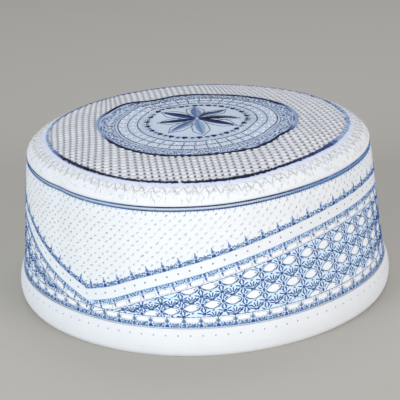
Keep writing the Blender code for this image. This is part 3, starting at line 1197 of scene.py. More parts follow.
@dataclass
class SideWall:
    """The side: eyelet ground above, and the waved band of borders, blocks and starred field."""
    columns: int = 480
    rows: int = 84
    eyelet_pitch: float = 4.8 * MM
    eyelet_row: float = 2.25 * MM
    eyelet_rows: int = 24
    eyelet_drop: float = 2.9 * MM
    lattice_rows: tuple[int, int] = (-1, 5)
    field_specks: int = 900
    seed: int = 7

    def build(self, palette: Palette) -> None:
        """Makes and dresses the wall's pieces."""
        outer = WALL.evenly(GAP / 2, WALL.along[-1], self.rows)
        shell = RoundShell("wall_cloth", cloth_outline(outer, CLOTH, 10), self.columns,
                           WALL_FACE.girth_radius, field_dye)
        finish_piece(shell.build(), palette.wall, "wall_cloth", "side_wall")
        finish_piece(self.borders(), palette.blue, "wall_cloth")
        finish_piece(self.star_field(), palette.blue, "wall_cloth")
        finish_piece(self.white_pads(), palette.white, "wall_cloth")
        finish_piece(self.eyelets(), palette.grey, "wall_cloth")

    def borders(self) -> Piece:
        """Stitches the three borders with their beads, and the lines that close the field."""
        work = ThreadWork(WALL_FACE)
        foot = level(self.hem_places(0.0), HEM_HEIGHT)
        work.add(*TREE.stamp(*WAVE.spaced(0.0, UPPER_REPEATS, 0.32)), base=BORDER_LIFT)
        work.add(*CHAIN.stamp(*WAVE.spaced(CHAIN_DEPTH, LOWER_REPEATS, 0.94)), base=BORDER_LIFT)
        work.add(*HEM_TREE.stamp(foot, np.zeros(HEM_REPEATS)), base=BORDER_LIFT)
        fine = np.linspace(0.0, WALL_FACE.girth, 241)
        for depth, width, tone in ((0.0, 0.26, Tone.LIGHT), (BAND_DEPTH / MM, 0.26, Tone.LIGHT),
                                   (FIELD_TOP / MM, 0.34, Tone.DEEP)):
            line = running_line(fine, np.maximum(WAVE.below(fine, depth * MM), HEM_HEIGHT + 1.0 * MM))
            work.add(line, width * MM, tone.value)
        for height, width, tone in ((0.1, 0.3, Tone.LIGHT), (FIELD_FOOT / MM, 0.34, Tone.DEEP)):
            work.add(running_line(fine, np.full(len(fine), HEM_HEIGHT + height * MM)), width * MM, tone.value)
        chance = np.random.default_rng(self.seed + 1)
        self.strew(work, chance, WAVE.height, (0.5, 2.6), 700)
        self.strew(work, chance, lambda across: WAVE.below(across, CHAIN_DEPTH), (-1.5, 1.0), 650)
        self.strew(work, chance, lambda across: np.full(across.shape, HEM_HEIGHT), (0.6, 2.3), 650)
        return work.build("wall_borders")

    def strew(self, work: ThreadWork, chance: np.random.Generator, line: Callable[[Array], Array],
              reach: tuple[float, float], count: int) -> None:
        """Strews short, mostly pale beads of thread along a border, so that it looks grainy.

        Args:
            work: The threads that they join.
            chance: Where the places, turns and tones are drawn from.
            line: The border's own line.
            reach: The lowest and highest place over the line, in mm.
            count: Number of beads.
        """
        across = chance.uniform(0.0, TURN, count) * WALL_FACE.girth_radius
        up = line(across) + chance.uniform(*reach, count) * MM
        turn = np.arctan(WAVE.slope(across)) * (up > HEM_HEIGHT + 4 * MM) + chance.normal(0.0, 0.5, count)
        half = chance.uniform(0.3, 0.6, (count, 1)) * MM
        tones = chance.choice((0.0, Tone.PALE.value, Tone.LIGHT.value, Tone.MID.value), count)
        work.add(centred(pair(across, up), turn, half), 0.55 * MM, tones, rise=0.4, base=0.14 * MM)

    def hem_places(self, start: float) -> Array:
        """Returns the across coordinates of the hem border's repeats, from a share of one repeat."""
        return eased((np.arange(HEM_REPEATS) + HEM_START + start) / HEM_REPEATS * WALL_FACE.girth)

    def cells(self) -> tuple[Array, Array]:
        """Returns the origin and the height scale of every lozenge cell that the field can hold."""
        columns = eased(WALL_FACE.bearing(LATTICE_PHASE) + np.arange(LATTICE_COLUMNS) * LATTICE_PITCH)
        column, row = np.meshgrid(columns, np.arange(*self.lattice_rows), indexing="ij")
        share = FIRST_ROW - ROW_STEP * row
        wave = WAVE.height(column) - ROW_ORIGIN
        up = ROW_ORIGIN + share * wave
        lean = (up - HEM_HEIGHT) * LATTICE_LEAN
        origins = pair(column + lean, up).reshape(-1, 2)
        return origins, (ROW_STEP * wave / (LATTICE_ROW * MM)).ravel()

    def star_field(self) -> Piece:
        """Stitches the cells of the main field, whose threads end at its closing lines, and specks."""
        work = ThreadWork(WALL_FACE)
        origins, squash = self.cells()
        across = LATTICE_PITCH / (LATTICE_COLUMN * MM)
        scales = pair(np.full(len(origins), across), squash)
        headings = np.arctan(WAVE.slope(origins[:, 0])) * LATTICE_TURN
        paths, widths, tones = CELL.stamp(origins, headings, scales)
        top = WAVE.below(paths[..., 0], FIELD_TOP)
        keep = ((paths[..., 1] < top) & (paths[..., 1] > FIELD_BASE)).mean(axis=1) > 0.6
        paths[..., 1] = np.maximum(np.minimum(paths[..., 1], top), FIELD_BASE)
        layer = np.where(tones < Tone.LIGHT.value, 0.0, 0.08 * MM)
        work.add(paths, widths, tones, rise=0.25, base=layer, keep=keep)
        self.speckle(work)
        return work.build("wall_star_field")

    def speckle(self, work: ThreadWork) -> None:
        """Strews specks over two parts of the field, where the wave falls past its crests."""
        chance = np.random.default_rng(self.seed + 2)
        count = self.field_specks
        inset = 0.6 * MM
        first = chance.choice((180.0, 0.0), count)
        across = WALL_FACE.bearing(first + chance.uniform(0.0, 50.0, count))
        foot = FIELD_BASE + inset
        top = WAVE.below(across, FIELD_TOP) - inset
        up = foot + chance.random(count) * (top - foot)
        turn = chance.uniform(0.0, TURN, count)
        half = chance.uniform(0.25, 0.5, (count, 1)) * MM
        tones = np.where(chance.random(count) < 0.62, chance.uniform(0.0, 0.2, count), Tone.DEEP.value)
        work.add(centred(pair(across, up), turn, half), 0.42 * MM, tones, rise=0.35,
                 base=0.09 * MM, keep=top > foot + inset)

    def white_pads(self) -> Piece:
        """Raises the white lozenges of the field and the white blocks along its two borders."""
        work = PadWork(WALL_FACE)
        origins, squash = self.cells()
        scales = pair(np.ones(len(origins)), np.maximum(squash, 0.8))
        headings = np.arctan(WAVE.slope(origins[:, 0])) * LATTICE_TURN
        top = WAVE.below(origins[:, 0], FIELD_TOP)
        held = (origins[:, 1] < top - 0.2 * MM) & (origins[:, 1] > FIELD_BASE + 0.3 * MM)
        work.add(rounded(4.15, 2.35, 1.5, 0.0), origins[held], headings[held], 0.08 * MM, scales[held],
                 lambda across: WAVE.below(across, FIELD_TOP), FIELD_BASE)
        places, slopes = WAVE.spaced(BAND_DEPTH + 3.75 * MM, LOWER_REPEATS, 0.44)
        clear = places[:, 1] > HEM_HEIGHT + 6.0 * MM
        work.add(rounded(3.5, 1.05, 5.0, 0.5), places[clear], slopes[clear], 0.06 * MM)
        blocks = level(self.hem_places(0.5), HEM_HEIGHT + 3.5 * MM)
        work.add(rounded(3.4, 1.1, 5.0, 0.5), blocks, np.zeros(HEM_REPEATS), 0.06 * MM)
        return work.build("wall_white_pads")

    def eyelets(self) -> Piece:
        """Sets the staggered eyelets of the ground, and the holes of the white strip and lozenges.

        All are grey or dark strokes of painted shade where the holes are. An eyelet is a slanting
        stroke, steeper towards the right, with a paler one across it.
        """
        work = ThreadWork(WALL_FACE)
        chance = np.random.default_rng(self.seed)
        count = round(WALL_FACE.girth / self.eyelet_pitch)
        pitch = WALL_FACE.girth / count
        column, row = np.meshgrid(np.arange(count), np.arange(self.eyelet_rows), indexing="ij")
        across = (column + 0.5 * (row % 2)) * pitch + chance.normal(0.0, 0.32 * MM, column.shape)
        up = SEAM_HEIGHT - self.eyelet_drop - row * self.eyelet_row
        up = up + chance.normal(0.0, 0.22 * MM, row.shape)
        clear = up > WAVE.height(across) + 3.0 * MM
        places = pair(across[clear], up[clear])
        rightward = np.maximum(np.cos(places[:, 0] / WALL_FACE.girth_radius + math.radians(20.0)), 0.0)
        slant = np.radians(33.0 + 32.0 * rightward ** 2 + chance.normal(0.0, 12.0, len(places)))
        length = chance.uniform(0.7, 1.2, (len(places), 1)) * MM
        reach = pair(np.cos(slant), np.sin(slant)) * length
        to_side = np.abs(np.cos(places[:, 0] / WALL_FACE.girth_radius))
        # painted shade of each eyelet: a grey tone, darker towards the sides
        tones = chance.uniform(0.2, 0.5, len(places)) + 0.25 * to_side
        # a few eyelets are painted darker, as open holes
        tones = np.where(chance.random(len(places)) < 0.04, 0.85, tones)
        work.add(both_ways(places, reach, 0.15 * MM), 0.36 * MM, tones, rise=0.12)
        crossing = pair(-reach[:, 1], reach[:, 0])
        work.add(bowed_paths(places - 0.9 * crossing, places + 0.4 * crossing), 0.26 * MM, 0.55 * tones,
                 rise=0.3)
        # painted shade: a dark stroke at each hole of the white strip
        holes, _ = WAVE.spaced(2.75 * MM, STRIP_HOLES, 0.84)
        dot = np.array([0.38, 0.0]) * MM
        work.add(both_ways(holes, dot), 0.72 * MM, 0.95, rise=0.12)
        # painted shade: a dark stroke at the hole beside each lozenge
        origins, _ = self.cells()
        origins = origins + np.array([2.6, 0.45]) * MM
        inside = (origins[:, 1] < WAVE.below(origins[:, 0], FIELD_TOP + 0.6 * MM))
        inside &= origins[:, 1] > FIELD_BASE + 0.8 * MM
        work.add(both_ways(origins[inside], dot), 0.5 * MM, 0.9, rise=0.2, base=0.12 * MM)
        return work.build("wall_eyelet_and_hole_shade")


# Crown

MEDALLION_CENTRE = np.array([0.7, -2.0]) * MM

# azimuth, distance of the medallion's edge from the crown's middle in mm
EDGE_ROWS = np.array([
    (0.0, 50.5), (15.0, 50.0), (30.5, 48.7), (50.0, 47.0), (68.0, 46.0), (77.0, 45.4), (94.0, 46.8),
    (102.0, 47.0), (109.0, 45.9), (116.0, 45.2), (123.0, 46.4), (129.0, 49.8), (134.0, 51.0),
    (141.0, 50.2), (161.5, 51.2), (176.6, 50.1), (190.0, 48.8), (209.0, 49.1), (228.0, 49.6),
    (247.0, 49.8), (266.0, 49.8), (285.0, 50.9), (295.0, 51.9), (303.0, 53.0), (311.0, 52.4),
    (319.0, 51.3), (325.0, 50.7), (330.0, 51.6), (336.0, 51.8), (346.0, 51.3), (360.0, 50.5),
])
BAND_INNER = 42.2 * MM          # radius of the ring inside the scrolled band

# distance from the medallion's middle in mm, how far the cloth is dyed there
MEDALLION_DYE = np.array([(0.0, 0.15), (23.0, 0.15), (24.5, 0.55), (29.0, 0.55), (30.5, 0.20),
                          (40.0, 0.20), (42.0, 0.70), (50.0, 0.70)])

# row of holes, its y in mm
FIELD_ROWS = np.array([(-10.0, -98.0), (0.0, -68.0), (6.0, -49.7), (12.0, -30.0), (53.0, 111.0)])


def polar(radius: Array | float, degrees: Array | float) -> Array:
    """Returns crown places at a distance and an azimuth from the medallion's middle."""
    angle = np.radians(degrees)
    x, y = np.broadcast_arrays(radius * np.cos(angle), radius * np.sin(angle))
    return pair(x, y) + MEDALLION_CENTRE


def ring_places(radius: Array | float, degrees: Array) -> tuple[Array, Array]:
    """Returns crown places at a distance and azimuths, and headings that run round the ring."""
    return polar(radius, degrees), np.radians(degrees) - math.pi / 2


def edge_radius(degrees: Array) -> Array:
    """Returns how far the medallion's edge lies from the crown's middle, read from EDGE_ROWS."""
    return hermite(EDGE_ROWS, np.asarray(degrees) % 360.0) * MM


def band_reach(degrees: Array) -> Array:
    """Returns how far the medallion's edge lies from the medallion's own middle."""
    return np.linalg.norm(edge_places(degrees) - MEDALLION_CENTRE, axis=-1)


def edge_places(degrees: Array, inset: Array | float = 0.0) -> Array:
    """Returns crown places along the medallion's edge, or inside it by the inset."""
    angle = np.radians(degrees)
    reach = edge_radius(degrees) - inset
    return pair(reach * np.cos(angle), reach * np.sin(angle))


SCROLL = Motif((
    Stroke((-4.6, 1.9), (4.6, 1.9), 0.6, Tone.DEEP, 0.4),
    Stroke((-3.4, 0.8), (-1.2, 0.9), 0.7, Tone.DEEP, 0.2),
    Stroke((0.4, 0.7), (2.4, 0.4), 0.75, Tone.DEEP, 0.2),
    Stroke((3.0, 1.1), (4.0, 0.5), 0.6, Tone.MID),
    Stroke((-2.9, -1.1), (-0.6, -1.3), 0.55, Tone.DEEP, -0.2),
    Stroke((1.2, -1.0), (3.2, -1.2), 0.6, Tone.DEEP, -0.2),
    Stroke((-6.2, -1.5), (-5.9, 0.0), 0.6, Tone.DEEP),
    Stroke((-5.4, -0.3), (-5.1, 1.2), 0.55, Tone.MID),
    Stroke((-4.4, -0.9), (-4.2, 0.6), 0.55, Tone.DEEP),
    Stroke((0.0, -0.7), (0.2, 0.7), 0.55, Tone.MID),
    Stroke((3.9, -0.9), (4.1, 0.5), 0.55, Tone.MID),
    Stroke((5.0, -1.5), (5.3, -0.2), 0.6, Tone.DEEP),
    Stroke((5.8, 0.2), (6.0, 1.6), 0.55, Tone.MID),
    Stroke((-2.6, -0.2), (-0.9, -0.3), 0.8, Tone.PALE),
    Stroke((1.6, -0.3), (3.3, -0.1), 0.8, Tone.PALE),
    Stroke((-5.3, 1.9), (-4.7, 2.4), 0.6, Tone.PALE),
))

DASH = Motif((
    Stroke((-1.9, 0.1), (1.7, -0.1), 1.0, Tone.NAVY),
    Stroke((-1.1, -0.75), (1.2, -0.65), 0.7, Tone.NAVY),
    Stroke((0.1, 0.3), (0.0, 1.9), 0.75, Tone.NAVY),
    Stroke((-0.7, 0.9), (0.8, 0.95), 0.6, Tone.DEEP),
    Stroke((2.0, 0.3), (4.6, 0.2), 0.55, Tone.DEEP),
    Stroke((2.3, -0.6), (4.5, -0.6), 0.5, Tone.DEEP),
    Stroke((2.6, 1.5), (4.2, 1.5), 0.45, Tone.MID),
))


class PetalSheenTone(Enum):
    """The kinds of petal, by the painted sheen of one navy thread: lighter where its satin runs across."""
    DARK = Tone.NAVY.value
    DEEP = 0.82
    MIDDLE = 0.62
    BRIGHT = 0.42


@dataclass(frozen=True)
class Petal:
    """One petal of the flower: where it points, its length, half its width and its two painted sheen tones.
    """
    degrees: float
    length: float
    half_width: float
    tone: PetalSheenTone
    under: float


# each petal's two tones are painted sheen on one navy thread
PETALS = (
    Petal(93.0, 21.5 * MM, 2.6 * MM, PetalSheenTone.MIDDLE, 0.48),
    Petal(142.0, 21.5 * MM, 1.9 * MM, PetalSheenTone.DEEP, 0.94),
    Petal(181.0, 19.0 * MM, 1.9 * MM, PetalSheenTone.DARK, 0.84),
    Petal(228.5, 20.5 * MM, 2.2 * MM, PetalSheenTone.BRIGHT, 0.66),
    Petal(277.5, 21.5 * MM, 2.3 * MM, PetalSheenTone.BRIGHT, 0.5),
    Petal(329.0, 22.0 * MM, 1.7 * MM, PetalSheenTone.DARK, 0.86),
    Petal(357.0, 20.5 * MM, 1.6 * MM, PetalSheenTone.DARK, 1.0),
    Petal(46.0, 20.5 * MM, 1.9 * MM, PetalSheenTone.DARK, 0.72),
)


@dataclass
class CrownTop:
    """The crown: a field of pulled holes round a medallion with scrolls, bricks and a flower.

    The first joint between bricks stands at the azimuth first_brick, in degrees. The ranges of
    the grid of holes give its first column or row, and the one past its last.
    """
    hole_across: float = 3.22 * MM
    hole_start: float = 0.5 * MM
    hole_columns: tuple[int, int] = (-30, 31)
    hole_rows: tuple[int, int] = (-9, 53)
    hole_depth: float = 0.9 * MM
    bar_rise: float = 0.35 * MM
    edge_inset: float = 0.1 * MM
    edge_stitches: int = 620
    scrolls: int = 22
    short_strokes: int = 190
    bricks: int = 38
    first_brick: float = 267.5
    strewn_specks: int = 900
    seed: int = 3

    def build(self, palette: Palette) -> None:
        """Makes and dresses the crown's pieces."""
        finish_piece(self.hole_field(), palette.field, "crown_cloth", "crown_top")
        finish_piece(self.medallion_cloth(), palette.medallion, "crown_cloth")
        finish_piece(self.rings(), palette.ink, "crown_cloth")
        finish_piece(self.flower(), palette.ink, "crown_cloth")
        finish_piece(self.specks(), palette.white, "crown_cloth")

    def bent(self, across: Array, row: Array) -> tuple[Array, Array]:
        """Bends the field's grid to where its holes lie.

        The rows stand closer together at the front, and rise towards the left edge. The columns
        lean to the right towards the front: hardly at the left, and most at the right.

        Args:
            across: Each column's distance from the middle.
            row: Each row's number, counted from the front.

        Returns:
            The places' x and y.
        """
        up = read(FIELD_ROWS, row) * MM
        lean = 0.01 + 0.10 * ease((across + 56 * MM) / (24 * MM)) + 0.2 * ease((across - 5 * MM) / (50 * MM))
        up = up + 0.15 * np.maximum(-across - 30 * MM, 0.0)
        return across - up * lean, up

    def hole_field(self) -> Piece:
        """Makes the field as a closed sheet: a grid with a hole in each cell, cut to two outlines.

        Each cell is cut by lines at set shares of its size. Its middle sinks as a hole, and the
        bars between the columns of holes are raised. The holes and the grooves along each column and
        between the rows are painted darker as their shade, and each cell gets a little random tone.
        """
        cuts_across = np.array([-0.5, -0.26, -0.15, -0.09, 0.09, 0.15, 0.26])
        cuts_up = np.array([-0.5, -0.40, -0.27, -0.15, 0.15, 0.27, 0.40])
        columns = np.arange(*self.hole_columns)
        rows = np.arange(*self.hole_rows)
        lines_across = (columns[:, None] + cuts_across[None]).ravel() * self.hole_across + self.hole_start
        lines_up = (rows[:, None] + cuts_up[None]).ravel()
        grid_across, grid_row = np.meshgrid(lines_across, lines_up, indexing="ij")
        from_column = np.abs(np.tile(cuts_across, len(columns)))[:, None]
        from_row = np.abs(np.tile(cuts_up, len(rows)))[None, :]
        # the hole's extent: it sets how far the hole sinks, and where its shade is painted
        hole_shade = ease((0.19 - from_column) / 0.08) * ease((0.32 - from_row) / 0.12)
        # painted shade along each column of holes
        groove_shade = ease((0.20 - from_column) / 0.10)
        bar = ease((from_column - 0.10) / 0.15) * np.cos(math.pi * from_row) ** 2
        lift = self.bar_rise * bar - self.hole_depth * hole_shade
        # painted shade between the rows, a little lighter along the columns
        between = ease((from_row - 0.33) / 0.12) * (1.0 - 0.4 * groove_shade)
        chance = np.random.default_rng(self.seed + 2)
        uneven = chance.uniform(0.0, 0.16, (len(columns), len(rows)))
        uneven = np.kron(uneven, np.ones((len(cuts_across), len(cuts_up))))
        # the crown's mark: painted shade of holes and grooves, or each cell's random tone where that is
        # darker
        shade_and_tone = np.maximum(np.maximum(hole_shade, uneven), np.maximum(0.22 * groove_shade, 0.55 * between))
        x, y = self.bent(grid_across, grid_row)
        return self.cut_sheet("crown_field", x, y, lift, shade_and_tone)

    def cut_sheet(self, name: str, x: Array, y: Array, lift: Array, hole_shade: Array) -> Piece:
        """Cuts a grid to the ring between the medallion and the navy line, and closes it.

        Faces wholly outside the ring go. The corners that still stand outside are moved along
        their radius on to the ring's edge. An underside and walls along both edges close it.

        Args:
            name: The piece's name.
            x: The grid's x, (n, m).
            y: The grid's y, (n, m).
            lift: Distance from the crown's face.
            hole_shade: Painted shade in the holes and grooves, with each cell's random tone, 0 to 1.

        Returns:
            The sheet.
        """
        radius = np.hypot(x, y)
        inner_edge = edge_radius(np.degrees(np.arctan2(y, x)))
        outer_edge = LINE_RADIUS - self.edge_inset
        inside = (radius < outer_edge) & (radius > inner_edge)
        edge = np.where(radius > outer_edge, outer_edge, inner_edge)
        squeeze = np.where(inside, 1.0, edge / np.maximum(radius, 1e-9))
        x, y = x * squeeze, y * squeeze
        lift = np.where(inside, lift, 0.0)
        hole_shade = np.where(inside, hole_shade, 0.0)
        rows, columns = x.shape
        index = np.arange(rows * columns).reshape(rows, columns)
        quads = np.stack([index[:-1, :-1], index[1:, :-1], index[1:, 1:], index[:-1, 1:]],
                         axis=-1).reshape(-1, 4)
        quads = quads[inside.ravel()[quads].any(axis=1)]
        used, quads = np.unique(quads, return_inverse=True)
        quads = quads.reshape(-1, 4)
        flat = pair(x.ravel()[used], y.ravel()[used])
        top = CROWN_FACE.place(flat, lift.ravel()[used])
        under = CROWN_FACE.place(flat, -CLOTH)
        faces = np.concatenate([quads, quads[:, ::-1] + len(used), edge_walls(quads, len(used))])
        points = np.concatenate([top, under])
        marks = {"hole_shade": np.concatenate([hole_shade.ravel()[used], np.zeros(len(used))])}
        return make_object(name, points, [faces], np.concatenate([flat, flat]), marks)

    def medallion_cloth(self) -> Piece:
        """Makes the medallion's disc: a polar grid with an underside, whose middles are one point."""
        columns, rows = 180, 40
        rim = edge_places(azimuths(columns), self.edge_inset)
        shares = ((np.arange(rows) + 1) / rows)[:, None, None]
        flat = (MEDALLION_CENTRE + shares * (rim[None] - MEDALLION_CENTRE)).reshape(-1, 2)
        flat = np.concatenate([MEDALLION_CENTRE[None], flat])
        top = CROWN_FACE.place(flat, 0.0)
        under = CROWN_FACE.place(flat, -CLOTH)
        column = np.arange(columns)
        after = (column + 1) % columns
        row = np.arange(rows - 1)[:, None]
        quads = np.stack([1 + row * columns + column, 1 + (row + 1) * columns + column,
                          1 + (row + 1) * columns + after, 1 + row * columns + after],
                         axis=-1).reshape(-1, 4)
        middle = np.stack([np.zeros(columns, dtype=int), 1 + column, 1 + after], axis=-1)
        count = len(flat)
        last = 1 + (rows - 1) * columns
        wall = np.stack([last + after, last + column, last + column + count, last + after + count], axis=-1)
        radius = np.linalg.norm(flat - MEDALLION_CENTRE, axis=-1) / MM
        dye = read(MEDALLION_DYE, radius)
        return make_object("crown_medallion", np.concatenate([top, under]),
                           [np.concatenate([quads, quads[:, ::-1] + count, wall[:, ::-1]]),
                            np.concatenate([middle, middle[:, ::-1] + count])],
                           np.concatenate([flat, flat]), {"dye": np.concatenate([dye, np.zeros(count)])})

    def rings(self) -> Piece:
        """Stitches the medallion's edge, rings, scrolls, brick joints, dashes and short strokes."""
        work = ThreadWork(CROWN_FACE)
        degrees = azimuths(self.edge_stitches)
        inner = edge_places(degrees - 0.4, 0.9 * MM)
        outer = edge_places(degrees + 0.4, -0.8 * MM)
        # painted sheen: the edge's navy satin grows lighter towards both sides
        tones = side_sheen_tone(degrees, Tone.NAVY.value, 0.42)
        work.add(bowed_paths(inner, outer), 0.7 * MM, tones, rise=0.75, base=0.05 * MM)
        for radius, width, tone in ((30.3, 0.58, 0.92), (35.3, 0.5, 0.86), (40.3, 0.6, 0.92),
                                    (41.9, 0.42, 0.7)):
            degrees = np.linspace(0.0, 360.0, 121)
            places = polar(radius * MM, degrees)
            bow = radius * MM * (1 - math.cos(math.radians(1.5)))
            work.add(bowed_paths(places[:-1], places[1:], -bow), width * MM, tone)
        degrees = azimuths(self.scrolls)
        middle = (BAND_INNER + band_reach(degrees)) / 2 + 0.2 * MM
        work.add(*SCROLL.stamp(*ring_places(middle, degrees)))
        degrees = azimuths(self.scrolls, start=0.607)
        work.add(*DASH.stamp(*ring_places(25.3 * MM, degrees)), base=0.05 * MM)
        chance = np.random.default_rng(self.seed)
        count = self.short_strokes
        degrees = azimuths(count) + chance.normal(0.0, 0.4, count)
        foot = 42.3 * MM + chance.uniform(0.0, 0.8, count) * MM
        tip = foot + chance.uniform(0.8, 2.2, count) * MM
        work.add(bowed_paths(polar(foot, degrees), polar(tip, degrees + chance.normal(0.0, 0.5, count))),
                 0.45 * MM, chance.uniform(0.5, 0.9, count))
        joints = azimuths(self.bricks, self.first_brick)
        # painted sheen: the brick joints grow lighter towards both sides
        tones = side_sheen_tone(joints, Tone.DEEP.value, 0.36, 0.6, 0.3)
        work.add(bowed_paths(polar(30.6 * MM, joints), polar(40.2 * MM, joints)), 0.46 * MM, tones)
        return work.build("crown_rings")

    def specks(self) -> Piece:
        """Raises the white specks: painted highlights in three rows on the bricks beside the rings, and
        others strewn over the cloth.
        """
        work = ThreadWork(CROWN_FACE)
        # painted highlights: a white speck on each brick, in three rows
        for radius, start in ((32.6, 0.3), (37.9, 0.75), (39.2, 0.25)):
            degrees = azimuths(self.bricks, self.first_brick, start)
            foot = polar((radius - 0.6) * MM, degrees)
            tip = polar((radius + 0.6) * MM, degrees + 0.6)
            work.add(bowed_paths(foot, tip), 0.85 * MM, 0.0, rise=0.5)
        chance = np.random.default_rng(self.seed + 1)
        count = self.strewn_specks
        degrees = chance.uniform(0.0, 360.0, count)
        radius = np.sqrt(chance.uniform(27.0 ** 2, 46.5 ** 2, count)) * MM
        turn = chance.uniform(0.0, TURN, count)
        half = chance.uniform(0.25, 0.7, (count, 1)) * MM
        tones = chance.uniform(0.0, 1.0, count)
        clear = radius < band_reach(degrees) - 1.5 * MM
        work.add(centred(polar(radius, degrees), turn, half), 0.5 * MM, tones, rise=0.4, keep=clear)
        return work.build("crown_highlights_and_specks")

    def flower(self) -> Piece:
        """Stitches the petals: slanting satin on both sides of a vein, inside a thin outline."""
        work = ThreadWork(CROWN_FACE)
        share = (np.arange(30) + 0.5) / 30
        rim_share = np.linspace(0.0, 1.0, 13)
        for petal in PETALS:
            along = 0.6 * MM + share * (petal.length - 1.9 * MM)
            half = petal.half_width * np.sin(math.pi * share ** 0.85) ** 0.8
            for side in (-1.0, 1.0):
                # each side's tone is the painted sheen of its slant
                tone = petal.tone.value if side > 0.0 else petal.under
                start = petal_places(petal, along, 0.0)
                edge = petal_places(petal, along + 1.1 * MM, side * np.maximum(half, 0.25 * MM))
                work.add(bowed_paths(start, edge), 0.75 * MM, tone, base=0.1 * MM)
            rim_along = petal.length * (0.22 + 0.86 * rim_share)
            rim_half = petal.half_width * 1.2 + 1.5 * MM * np.sin(math.pi * rim_share) ** 0.6
            rim_half = rim_half * np.minimum(1.0, (1.0 - rim_share) * 3.0)
            for side in (-1.0, 1.0):
                rim = petal_places(petal, rim_along, side * rim_half)
                work.add(bowed_paths(rim[:-1], rim[1:]), 0.42 * MM, 0.8)
        return work.build("crown_flower")


def petal_places(petal: Petal, along: Array, aside: Array | float) -> Array:
    """Returns crown places at distances along and aside a petal's vein."""
    angle = math.radians(petal.degrees)
    x = along * math.cos(angle) - aside * math.sin(angle)
    y = along * math.sin(angle) + aside * math.cos(angle)
    return pair(x, y) + MEDALLION_CENTRE


def edge_walls(quads: Array, offset: int) -> Array:
    """Returns the quads that join a sheet's open edges to its underside.

    An edge is open where no other face runs along it the other way.

    Args:
        quads: The sheet's faces.
        offset: How much further on the underside's points are numbered.

    Returns:
        Quads as (k, 4).
    """
    start = quads.ravel()
    end = np.roll(quads, -1, axis=1).ravel()
    size = int(quads.max()) + 1
    forward = start.astype(np.int64) * size + end
    backward = end.astype(np.int64) * size + start
    lonely = ~np.isin(forward, backward)
    first, second = start[lonely], end[lonely]
    return np.stack([second, first, first + offset, second + offset], axis=-1)


def side_sheen_tone(degrees: Array, deep: float, light: float, start: float = 0.86,
              spread: float = 0.12) -> Array:
    """Returns a thread's tone with painted sheen: deep at the front and back, lighter towards both sides.

    Args:
        degrees: Azimuth of each place.
        deep: The tone at the front and back.
        light: The lighter tone of the painted sheen at the two sides.
        start: The share of the way sideways at which it starts to grow light.
        spread: The share over which it does.

    Returns:
        The tones.
    """
    sideways = np.abs(np.cos(np.radians(degrees)))
    return deep + (light - deep) * ease((sideways - start) / spread)


# Shoulder

